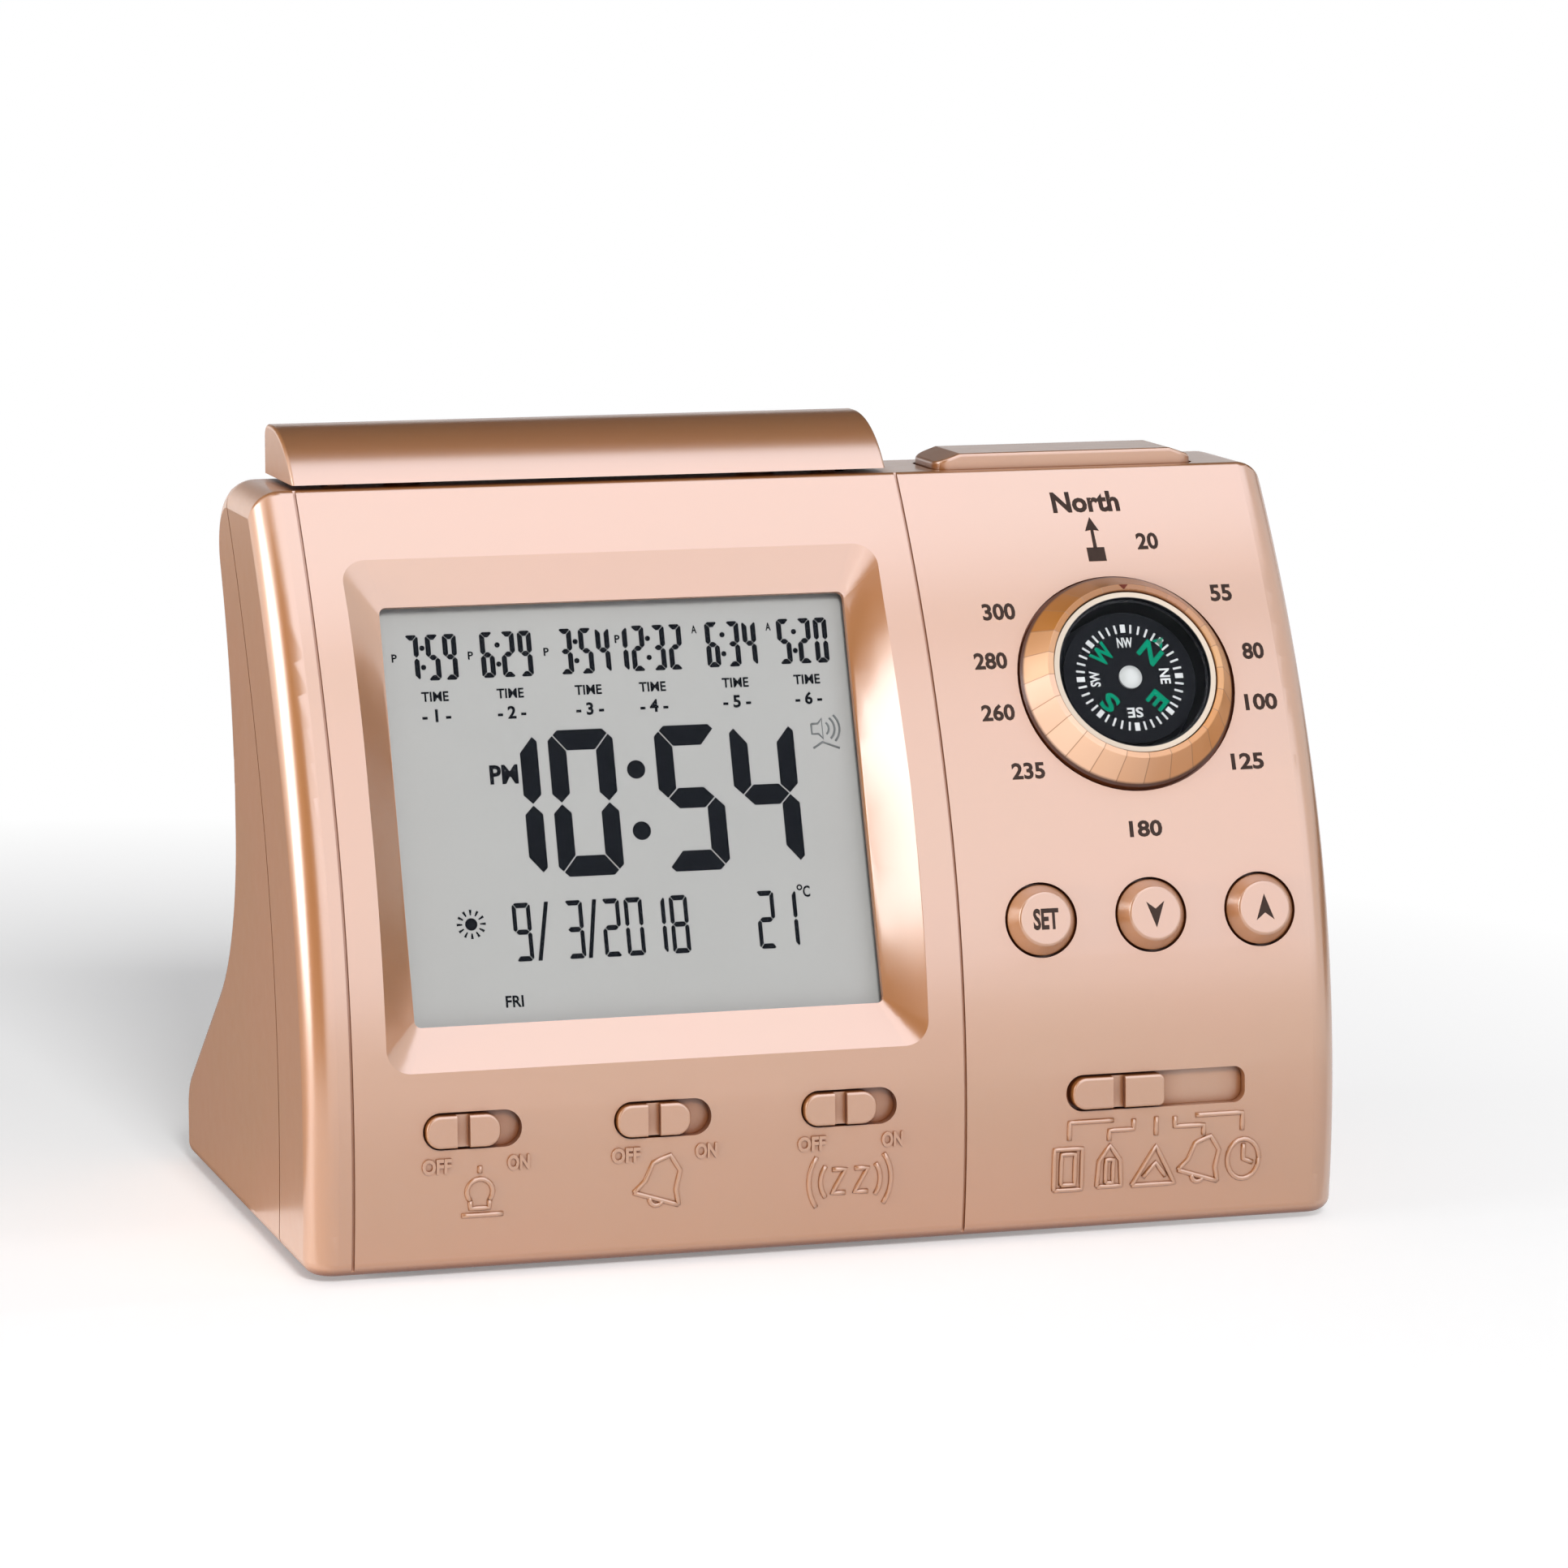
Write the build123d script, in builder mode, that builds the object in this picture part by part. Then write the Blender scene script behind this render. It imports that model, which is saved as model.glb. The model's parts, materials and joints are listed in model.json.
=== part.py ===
"""Table clock with prayer-time display, compass, slide switches and a press bar along its top.

Millimetres. Z is up from the table, X runs along the front and Y runs from the front to the back.
The origin is on the table, under the middle of the clock's bounding box.
"""

import os
from collections import namedtuple
from math import asin, atan2, cos, degrees, hypot, radians, sin, sqrt

from build123d import *

os.makedirs("parts", exist_ok=True)

# ---- Case: overall sizes -------------------------------------------------------------------
case_width = 124.0
case_height = 86.5  # underside to roof
case_depth = 73.0  # front bottom edge to the heel
wall = 2.0
foot_drop = 0.8  # the rubber feet hold the underside this far off the table

# The front is two arcs that share a tangent. It stands furthest forward at the belly.
low_radius = 100.0
high_radius = 145.0
belly_height = 13.3
join_height = 50.0

# The back is hollowed: shoulder, waist, straight flare and heel.
shoulder_radius = 8.0
waist_depth = 41.3  # front bottom edge to the waist
waist_height = 45.0
upper_waist_radius = 70.0
lower_waist_radius = 24.0
heel_height = 9.74  # above the underside, before it is rounded
heel_radius = 7.0

side_radius = 3.5
side_skim = 0.01  # taken off each side, where its rounded edges would run out to a point
crease_radius = 1.0
base_edge_radius = 1.8

seam_setback = 16.0  # the seam runs this far behind the face, all the way up
seam_gap = 0.3
lip_thickness = 0.9
lip_reach = 1.5
slip = 0.15  # clearance between pieces that are pushed together
running = 0.3  # clearance round pieces that move through the case
rib = 1.2  # thickness of the inner ribs, collars and tubes

# ---- Display -------------------------------------------------------------------------------
display_x = -20.8
display_height = 50.5
display_setback = 5.7
display_tilt = 19.7  # degrees back from upright
glass_width = 55.6
glass_height = 48.8
glass_corner = 0.8
frame_width = 64.0
frame_height = 59.9
frame_corner = 2.8
frame_lip = 0.8
lens_thickness = 1.2
lens_margin = 1.5
pod_wall = 1.5
lcd_thickness = 2.2
diffuser_thickness = 1.6
stack_gap = 0.2
zebra_height = 2.4
board_thickness = 1.2
board_boss_spread = 10.0  # above and below the display's middle

# ---- Compass, where lifts are measured outwards from the face -------------------------------
compass_x = 39.3
compass_height = 62.7
ring_radius = 13.1
ring_top_radius = 10.8
ring_rise = 3.8
ring_seat_depth = 1.3
capsule_radius = 9.9
capsule_wall = 1.0
capsule_rim_wall = 0.7
capsule_floor = 0.8
capsule_flange = 1.1
capsule_depth = 4.5
capsule_rim_lift = 3.4
window_lift = 2.6
window_edge = 0.6
window_dome = 1.0
card_radius = 8.1
card_thickness = 0.5
card_lift = 0.8
card_turn = 45.0  # where the card's own north points at rest
hub_radius = 1.15
hub_cap_radius = 1.4
hub_rise = 0.9
needle_length = 13.0
needle_width = 2.6
needle_thickness = 0.8
base_thickness = 1.3
pivot_radius = 0.4
pivot_tip_gap = 0.08

# ---- Keys ----------------------------------------------------------------------------------
key_x = {"set": 25.5, "down": 39.0, "up": 52.5}
key_height = 36.6
key_radius = 4.1
key_top_radius = 3.1
key_rise = 1.8
key_travel = 0.5  # of the keys, the bar and the long key
key_flange = 1.0
stem_radius = 1.5
key_stem_length = 5.0
press_edge_radius = 0.4

# ---- Push switches -------------------------------------------------------------------------
tact_side = 6.0
tact_body = 3.5
plunger_radius = 1.75
plunger_rise = 1.0
plunger_sink = 0.5  # part of the plunger inside its switch at rest
plunger_slack = 0.1

# ---- Slide switches ------------------------------------------------------------------------
slide_height = 16.4
slide_x = {"left": -43.1, "middle": -20.8, "right": 1.4}
slide_slot_length = 11.5
slide_knob_length = 8.6
slide_end_gap = 0.25
selector_x = 38.85
selector_slot_length = 22.1
selector_knob_length = 11.3
selector_end_gap = 0.6
round_end = 0.45  # corner radius of a knob's end as a share of its width
square_end = 0.2
selector_slot_corner = 1.4  # at the slot's right end
slot_width = 4.3
slot_end = 0.49  # corner radius of a slot's round end as a share of its width
slot_wall = 1.3  # the front is thinned to this round each slot
knob_rise = 0.9
knob_edge_radius = 0.3
knob_groove_width = 1.5
knob_groove_depth = 1.0
skirt_thickness = 0.8
skirt_overlap = 1.0  # the skirt is this much taller than the slot, above and below
slide_skirt_end = 0.6
selector_skirt_end = 0.1
post_width = 3.0
post_depth = 3.0
lever_width = 2.0
lever_depth = 2.6
lever_foot = 1.2
switch_body_depth = 3.4
switch_height = 6.6
switch_end = 2.5

# ---- Press bar and long key on the roof ----------------------------------------------------
bar_left = -57.0
bar_right = 14.5
bar_gap = 0.55
bar_crest = 6.4  # above the roof
bar_back = 43.0  # behind the front bottom edge
bar_wall = 1.6
bar_edge_radius = 0.4
bar_back_radius = 1.6
bar_skirt_inset = 3.4
bar_post_radius = 2.2
bar_post_inset = 14.3
hook_inset = 6.0
hook_thickness = 1.6
hook_width = 5.0
hook_reach = 0.9
long_key_x = 37.2
long_key_length = 32.4
long_key_width = 10.0
long_key_front = 28.2  # behind the front bottom edge
long_key_rise = 1.9
long_key_corner = 2.0
long_key_slope = 3.0  # length of the sloping top at each end
long_key_drop = 1.1
long_key_edge_radius = 0.4
roof_press_back = 33.7  # from the front bottom edge to the switches under the roof
long_key_flange_reach = 0.9
top_board_depth = 10.5  # below the roof
top_board_width = 9.6
top_board_post_x = (-30.0, -12.0, 17.0)

# ---- Grooves and fastenings ----------------------------------------------------------------
groove_x = (-56.9, 15.5)
groove_width = 0.35
groove_depth = 0.3
screw_x = 55.0
screw_heights = (25.5, 70.5)
screw_radius = 1.3
screw_head_radius = 2.6
screw_head_height = 1.8
screw_length = 13.0
screw_end_gap = 1.0  # between the screw's tip and the bottom of its hole
boss_radius = 3.0
pilot_slack = 0.1
small_screw_radius = 0.8
small_screw_head_radius = 1.6
small_screw_head_height = 1.0
small_screw_length = 4.5
small_boss_radius = 2.0

# ---- Batteries -----------------------------------------------------------------------------
cell_radius = 7.1
cell_length = 49.2
cell_nub_radius = 2.7
cell_nub_length = 1.3
cell_pitch = 15.0
bay_y = 48.5  # behind the front bottom edge
bay_slack = 0.45
contact_width = 10.0
contact_height = 9.0
contact_thickness = 0.3
spring_length = 3.3
spring_radius = 3.6
spring_wire_radius = 0.3
spring_turns = 2.5
door_thickness = 1.9
door_margin = 1.6
door_tongue = 1.0
door_tongue_thickness = 0.9
door_roof = 1.3
grip_length = 18.0
grip_pitch = 2.2
grip_depth = 0.5
grip_inset = 8.0

# ---- Speaker -------------------------------------------------------------------------------
speaker_x = -30.0
speaker_height = 51.5
speaker_radius = 18.0
speaker_flange = 1.2
speaker_pocket = 2.4
speaker_seat_lift = 0.6
cone_radius = 14.2
basket_radius = 9.5
basket_depth = 5.6
basket_wall = 0.5
magnet_radius = 8.5
magnet_depth = 2.8
grille_slots = 7
grille_pitch = 4.0
grille_slot_width = 1.6
grille_radius = 14.0

# ---- Feet ----------------------------------------------------------------------------------
foot_radius = 4.0
foot_recess = 0.7
foot_edge_radius = 0.3
foot_x = 50.0
front_foot_y = 8.5  # behind the front bottom edge
rear_foot_y = 64.0


# ---- Where things are ----------------------------------------------------------------------
def arc_back(radius, height):
    """How far an arc has curved back at this height above its own centre."""
    return radius - sqrt(radius**2 - height**2)


slide_dip = arc_back(low_radius, slide_height - belly_height) - arc_back(low_radius, belly_height)
front_y = -(case_depth + slide_dip - knob_rise) / 2
back_y = front_y + case_depth
floor_z = foot_drop
roof_z = floor_z + case_height

low_centre = (
    front_y + low_radius - arc_back(low_radius, belly_height),
    floor_z + belly_height,
)
join_angle = degrees(asin((join_height - belly_height) / low_radius))
high_centre = (
    low_centre[0] + (high_radius - low_radius) * cos(radians(join_angle)),
    low_centre[1] - (high_radius - low_radius) * sin(radians(join_angle)),
)


def face_arc(height):
    """Centre and radius of the arc that the face follows at a height above the underside."""
    return (low_centre, low_radius) if height <= join_height else (high_centre, high_radius)


def face_tilt(height):
    """Degrees that the face leans back at a height above the underside."""
    centre, radius = face_arc(height)
    return degrees(asin((floor_z + height - centre[1]) / radius))


def face_y(height):
    """Y of the face at a height above the underside."""
    centre, radius = face_arc(height)
    return centre[0] - radius * cos(radians(face_tilt(height)))


def leaning_plane(x, y, z, tilt=0.0):
    """A plane that looks forwards and leans back: local x runs right and local y runs up."""
    outward = (0, -cos(radians(tilt)), sin(radians(tilt)))
    return Plane(origin=(x, y, z), x_dir=(1, 0, 0), z_dir=outward)


def face_plane(x, height, lift=0.0):
    """The plane that touches the face at x and a height, moved outwards by lift."""
    return leaning_plane(x, face_y(height), floor_z + height, face_tilt(height)).offset(lift)


def display_plane(lift=0.0):
    """The plane of the display opening, moved outwards by lift."""
    y = face_y(display_height) + display_setback
    return leaning_plane(display_x, y, floor_z + display_height, display_tilt).offset(lift)


# ---- Outlines in the side view (local x is Y, local y is Z) ---------------------------------
def face_arcs(low, high, setback=0.0):
    """The two arcs of the face between two heights, moved back by setback."""
    low_angle, high_angle = face_tilt(low), face_tilt(high)
    CenterArc(
        (low_centre[0] + setback, low_centre[1]),
        low_radius,
        180 - low_angle,
        low_angle - join_angle,
    )
    CenterArc(
        (high_centre[0] + setback, high_centre[1]),
        high_radius,
        180 - join_angle,
        join_angle - high_angle,
    )


waist_y = front_y + waist_depth
waist_z = floor_z + waist_height
shoulder_z = roof_z - shoulder_radius
shoulder_drop = degrees(asin((shoulder_z - waist_z) / (upper_waist_radius + shoulder_radius)))
shoulder_y = (
    waist_y
    + upper_waist_radius
    - (upper_waist_radius + shoulder_radius) * cos(radians(shoulder_drop))
)
crease_y = face_y(case_height)
waist_centre = (waist_y + lower_waist_radius, waist_z)
heel_z = floor_z + heel_height
heel_offset = (back_y - waist_centre[0], waist_centre[1] - heel_z)
flare_turn = degrees(atan2(*heel_offset) + asin(lower_waist_radius / hypot(*heel_offset)))
flare_start = (
    waist_centre[0] - lower_waist_radius * cos(radians(flare_turn)),
    waist_centre[1] - lower_waist_radius * sin(radians(flare_turn)),
)

with BuildSketch(Plane.YZ) as case_side:
    with BuildLine():
        face_arcs(0, case_height)
        Line((crease_y, roof_z), (shoulder_y, roof_z))
        CenterArc((shoulder_y, shoulder_z), shoulder_radius, 90, -90 - shoulder_drop)
        CenterArc(
            (waist_y + upper_waist_radius, waist_z),
            upper_waist_radius,
            180 - shoulder_drop,
            shoulder_drop,
        )
        CenterArc(waist_centre, lower_waist_radius, 180, flare_turn)
        Line(flare_start, (back_y, heel_z))
        Line((back_y, heel_z), (back_y, floor_z))
        Line((back_y, floor_z), (front_y, floor_z))
    make_face()
    fillet(case_side.vertices().group_by(Axis.X)[-1].sort_by(Axis.Y)[-1], heel_radius)


def front_zone(setback, x=0.0):
    """Everything in front of the face moved back by setback, as a side-view outline at x."""
    below, above = -3.0, case_height + 3.0
    ahead = front_y - case_depth
    low_y, high_y = face_y(below) + setback, face_y(above) + setback
    with BuildSketch(Plane.YZ.offset(x)) as zone:
        with BuildLine():
            face_arcs(below, above, setback)
            Line((high_y, floor_z + above), (ahead, floor_z + above))
            Line((ahead, floor_z + above), (ahead, floor_z + below))
            Line((ahead, floor_z + below), (low_y, floor_z + below))
        make_face()
    return zone.sketch


def inset_block(inset):
    """The case's plain block with every side moved in."""
    with BuildPart() as block:
        with BuildSketch(Plane.YZ):
            add(case_side.sketch_local)
            offset(amount=-inset, kind=Kind.INTERSECTION)
        extrude(amount=case_width / 2 - inset, both=True)
    return block.part


# ---- Case block ----------------------------------------------------------------------------
with BuildPart() as case_block:
    extrude(case_side.sketch, amount=case_width / 2 + side_skim, both=True)
    side_edges = case_block.faces().filter_by(Axis.X).edges()
    fillet(side_edges.filter_by(lambda edge: edge.center().Z > floor_z + 0.01), side_radius)
    fillet(case_block.faces().sort_by(Axis.Z)[0].edges(), base_edge_radius)
    roof = case_block.faces().filter_by(Axis.Z).sort_by(Axis.Z)[-1]
    fillet(roof.edges().filter_by(Axis.X).sort_by(Axis.Y)[0], crease_radius)
    split(bisect_by=Plane.YZ.offset(case_width / 2), keep=Keep.BOTTOM)
    split(bisect_by=Plane.YZ.offset(-case_width / 2), keep=Keep.TOP)

cavity = inset_block(wall)


# ---- Display well --------------------------------------------------------------------------
def face_rise(v):
    """How far the face stands in front of the display plane, v up from the plane's centre."""
    lean = radians(display_tilt)
    y = face_y(display_height) + display_setback + v * sin(lean)
    z = floor_z + display_height + v * cos(lean)
    for centre, radius in ((low_centre, low_radius), (high_centre, high_radius)):
        towards = -cos(lean) * (y - centre[0]) + sin(lean) * (z - centre[1])
        rise = sqrt(towards**2 - hypot(y - centre[0], z - centre[1]) ** 2 + radius**2) - towards
        if z + rise * sin(lean) < floor_z + join_height:
            return rise
    return rise


def bent_line(start, middle, end):
    """An arc through three points, or a straight line where they are level."""
    if abs(middle[2] - start[2]) < 1e-6:
        Line(start, end)
    else:
        ThreePointArc(start, middle, end)


def frame_loop(width, height, corner, rise):
    """A rounded rectangle over the display plane, where rise(v) is its height at each v."""
    x, y = width / 2, height / 2
    inner_x, inner_y = x - corner, y - corner
    bend = corner * sin(radians(45))
    with BuildLine(display_plane()) as loop:
        for side in (1, -1):
            edge_y, corner_y = side * y, side * inner_y
            bend_y = side * (inner_y + bend)
            Line(
                (side * inner_x, edge_y, rise(edge_y)),
                (-side * inner_x, edge_y, rise(edge_y)),
            )
            ThreePointArc(
                (-side * inner_x, edge_y, rise(edge_y)),
                (-side * (inner_x + bend), bend_y, rise(bend_y)),
                (-side * x, corner_y, rise(corner_y)),
            )
            bent_line(
                (-side * x, corner_y, rise(corner_y)),
                (-side * x, 0, rise(0)),
                (-side * x, -corner_y, rise(-corner_y)),
            )
            ThreePointArc(
                (-side * x, -corner_y, rise(-corner_y)),
                (-side * (inner_x + bend), -bend_y, rise(-bend_y)),
                (-side * inner_x, -edge_y, rise(-edge_y)),
            )
    return loop.wires()[0]


def display_well(inner_width, inner_height, grow, depth):
    """The funnel from the face to the display: a flat opening that widens to the frame's edge."""
    ahead = display_setback + case_depth / 4
    outer_width, outer_height = frame_width + 2 * grow, frame_height + 2 * grow
    outer_corner = frame_corner + grow
    loops = [
        frame_loop(inner_width, inner_height, glass_corner + grow, lambda v: -depth),
        frame_loop(outer_width, outer_height, outer_corner, lambda v: face_rise(v) - grow),
        frame_loop(outer_width, outer_height, outer_corner, lambda v: ahead),
    ]
    return Solid.make_loft(loops, ruled=True)


lens_width = glass_width + 2 * lens_margin
lens_height = glass_height + 2 * lens_margin
lcd_depth = frame_lip + lens_thickness + stack_gap
diffuser_depth = lcd_depth + lcd_thickness + stack_gap / 2
pod_depth = diffuser_depth + diffuser_thickness + stack_gap
pod_width = lens_width + 2 * pod_wall
pod_height = lens_height + 2 * pod_wall
board_boss_x = pod_width / 2 + small_boss_radius / 2

with BuildPart() as display_pod:
    add(display_well(pod_width, pod_height, pod_wall, pod_depth))
    with BuildSketch(display_plane(-pod_depth)):
        with GridLocations(2 * board_boss_x, 2 * board_boss_spread, 2, 2):
            Circle(small_boss_radius)
    extrude(amount=pod_depth - frame_lip)
    add(case_block.part, mode=Mode.INTERSECT)


# ---- Round pieces on the face --------------------------------------------------------------
compass_face = face_plane(compass_x, compass_height)
compass_axis = Axis(compass_face.origin, compass_face.z_dir)
# The section through the compass: local x is radial and local y is the lift.
compass_section = Plane(
    origin=compass_face.origin,
    x_dir=(1, 0, 0),
    z_dir=Vector(1, 0, 0).cross(compass_face.z_dir),
)
capsule_seat = ring_seat_depth + capsule_floor
collar_radius = capsule_radius + slip + capsule_flange + rib


def tact_switch(plane):
    """A square push switch whose top, where the plunger comes out, lies in the plane."""
    with BuildPart() as switch:
        with BuildSketch(plane):
            Rectangle(tact_side, tact_side)
        extrude(amount=-tact_body)
        with BuildSketch(plane):
            Circle(plunger_radius + plunger_slack)
        extrude(amount=-(plunger_sink + key_travel + slip), mode=Mode.SUBTRACT)
    return switch.part


def tact_plunger(plane):
    """The round button of a push switch, partly inside it."""
    with BuildPart() as plunger:
        with BuildSketch(plane.offset(-plunger_sink)):
            Circle(plunger_radius)
        extrude(amount=plunger_sink + plunger_rise)
    return plunger.part


def small_screw(seat):
    """A board screw with its head behind the seat plane and its shank ahead of it."""
    with BuildPart() as screw:
        with BuildSketch(seat):
            Circle(small_screw_radius)
        extrude(amount=small_screw_length)
        with BuildSketch(seat):
            Circle(small_screw_head_radius)
        extrude(amount=-small_screw_head_height)
    return screw.part


# ---- Keys: stem, flange and switch all stand on one line through the face -------------------
key_flange_lift = -(wall + running)
stem_end_lift = key_flange_lift - key_flange - key_stem_length
key_switch_lift = stem_end_lift - plunger_rise
key_board_lift = key_switch_lift - tact_body
key_taper = degrees(atan2(key_radius - key_top_radius, key_rise))
key_middle_x = key_x["down"]
key_board_width = key_x["up"] - key_x["set"] + 3 * tact_side / 2
key_board_height = 2.4 * tact_side
key_boss_y = 1.2 * tact_side
key_boss_x = (key_x["up"] - key_x["set"]) / 4


def press_key(x):
    """A round key: tapered crown, a flange behind the face and a stem down to its switch."""
    with BuildPart() as key:
        with BuildSketch(face_plane(x, key_height, key_flange_lift)):
            Circle(key_radius)
        extrude(amount=-key_flange_lift)
        with BuildSketch(face_plane(x, key_height)):
            Circle(key_radius)
        extrude(amount=key_rise, taper=key_taper)
        fillet(key.edges().filter_by(GeomType.CIRCLE).sort_by(Axis.Y)[0], press_edge_radius)
        with BuildSketch(face_plane(x, key_height, key_flange_lift)):
            Circle(key_radius + key_flange)
        extrude(amount=-key_flange)
        with BuildSketch(face_plane(x, key_height, key_flange_lift)):
            Circle(stem_radius)
        extrude(amount=-(key_flange + key_stem_length))
    return key.part


# ---- Slides: one rule for the three short ones and the selector ----------------------------
Slide = namedtuple("Slide", "x slot_length slot_corner knob_length knob_end end_gap skirt_end")
slides = {
    name: Slide(
        x,
        slide_slot_length,
        slot_width * slot_end,
        slide_knob_length,
        round_end,
        slide_end_gap,
        slide_skirt_end,
    )
    for name, x in slide_x.items()
}
slides["selector"] = Slide(
    selector_x,
    selector_slot_length,
    selector_slot_corner,
    selector_knob_length,
    square_end,
    selector_end_gap,
    selector_skirt_end,
)
knob_width = slot_width - 2 * running
skirt_height = slot_width + 2 * skirt_overlap
skirt_lift = -(slot_wall + slip)
lever_lift = skirt_lift - skirt_thickness - post_depth
switch_lift = lever_lift - lever_depth
slide_board_lift = switch_lift - switch_body_depth
slide_board_left = -52.0
slide_board_right = 57.0
slide_board_top = 4.5
slide_board_height = 15.0
slide_boss_x = (-47.5, -9.7, 13.8, 53.5)
slide_boss_y = -7.6


def slide_travel(slide):
    """How far a knob runs from one end of its slot to the other."""
    return slide.slot_length - slide.knob_length - 2 * slide.end_gap


def knob_x(slide):
    """X of the middle of a knob that rests at the left end of its slot."""
    return slide.x - slide.slot_length / 2 + slide.end_gap + slide.knob_length / 2


def skirt_left(slide):
    """The left end of the plate that hides the slot at every position of its knob."""
    return slide.x - slide.slot_length / 2 - slide_travel(slide) - slide.skirt_end


def skirt_right(slide):
    """The right end of that plate."""
    return slide.x + slide.slot_length / 2 + slide.skirt_end


def slide_knob(slide):
    """A pill with a finger groove, on a plate that runs behind the front."""
    left, right = skirt_left(slide), skirt_right(slide)
    with BuildPart() as knob:
        with BuildSketch(face_plane(knob_x(slide), slide_height, skirt_lift)) as pill:
            Rectangle(slide.knob_length, knob_width)
            fillet(pill.vertices().group_by(Axis.X)[0], knob_width * round_end)
            fillet(pill.vertices().group_by(Axis.X)[-1], knob_width * slide.knob_end)
        extrude(amount=knob_rise - skirt_lift)
        fillet(knob.faces().sort_by(Axis.Y)[0].edges(), knob_edge_radius)
        with BuildSketch(face_plane(knob_x(slide), slide_height, knob_rise)):
            Rectangle(knob_groove_width, slot_width)
        extrude(amount=-knob_groove_depth, mode=Mode.SUBTRACT)
        with BuildSketch(face_plane((left + right) / 2, slide_height, skirt_lift)):
            Rectangle(right - left, skirt_height)
        extrude(amount=-skirt_thickness)
        with BuildSketch(face_plane(knob_x(slide), slide_height, skirt_lift)):
            Rectangle(post_width, post_width)
        extrude(amount=-(skirt_thickness + post_depth))
    return knob.part


def slide_lever(slide):
    """The switch's own lever, whose foot runs in a slot in the switch."""
    with BuildPart() as lever:
        with BuildSketch(face_plane(knob_x(slide), slide_height, lever_lift)):
            Rectangle(lever_width, lever_width)
        extrude(amount=-(lever_depth + lever_foot))
    return lever.part


def slide_switch(slide):
    """A slide switch with the slot that its lever runs in."""
    travel = slide_travel(slide)
    middle = knob_x(slide) + travel / 2
    with BuildPart() as switch:
        with BuildSketch(face_plane(middle, slide_height, switch_lift)):
            Rectangle(travel + lever_width + 2 * switch_end, switch_height)
        extrude(amount=-switch_body_depth)
        with BuildSketch(face_plane(middle, slide_height, switch_lift)):
            Rectangle(travel + lever_width + 2 * slip, lever_width + 2 * slip)
        extrude(amount=-(lever_foot + slip), mode=Mode.SUBTRACT)
    return switch.part


# ---- Roof: press bar and long key ----------------------------------------------------------
bar_base_z = roof_z + bar_gap
bar_crest_z = roof_z + bar_crest
bar_front_y = face_y(case_height + bar_gap)
bar_back_y = front_y + bar_back
bar_slope = radians(90 - face_tilt(case_height + bar_gap))
bar_radius = (bar_crest - bar_gap) / (1 - cos(bar_slope))
bar_crest_y = bar_front_y + bar_radius * sin(bar_slope)
bar_middle = (bar_left + bar_right) / 2
bar_length = bar_right - bar_left
roof_press_y = front_y + roof_press_back
long_key_y = front_y + long_key_front + long_key_width / 2
top_board_z = roof_z - top_board_depth
top_switch_z = top_board_z + tact_body
plunger_tip_z = top_switch_z + plunger_rise
flange_top_z = roof_z - wall - slip
bar_post_x = (bar_left + bar_post_inset, bar_right - bar_post_inset)
hooks = {bar_left + hook_inset: -1, bar_right - hook_inset: 1}


def bar_surface_z(y):
    """Height of the bar's outside at y, ahead of its crest."""
    return bar_crest_z - bar_radius + sqrt(bar_radius**2 - (y - bar_crest_y) ** 2)


def roof_plane(x, z):
    """A level plane on the middle line of the roof's push pieces."""
    return Plane((x, roof_press_y, z))


def long_key_plan(z, grow=0.0):
    """The long key in plan at a height: a bar with rounded corners, grown all round."""
    with BuildSketch(Plane((long_key_x, long_key_y, z))) as plan:
        RectangleRounded(
            long_key_length + 2 * grow, long_key_width + 2 * grow, long_key_corner + grow
        )
    return plan.sketch


# ---- Case screws ---------------------------------------------------------------------------
case_screw_spots = [(x, height) for x in (-screw_x, screw_x) for height in screw_heights]


def screw_plane(x, height, setback):
    """A plane across a case screw, looking forwards, a distance behind the face."""
    return leaning_plane(x, face_y(height) + setback, floor_z + height)


boss_setback = seam_setback + seam_gap
head_setback = boss_setback + wall

with BuildPart() as screw_bosses:
    for x, height in case_screw_spots:
        with BuildSketch(screw_plane(x, height, boss_setback)):
            Circle(boss_radius)
        extrude(amount=boss_setback)
    add(inset_block(wall / 2), mode=Mode.INTERSECT)

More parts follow.
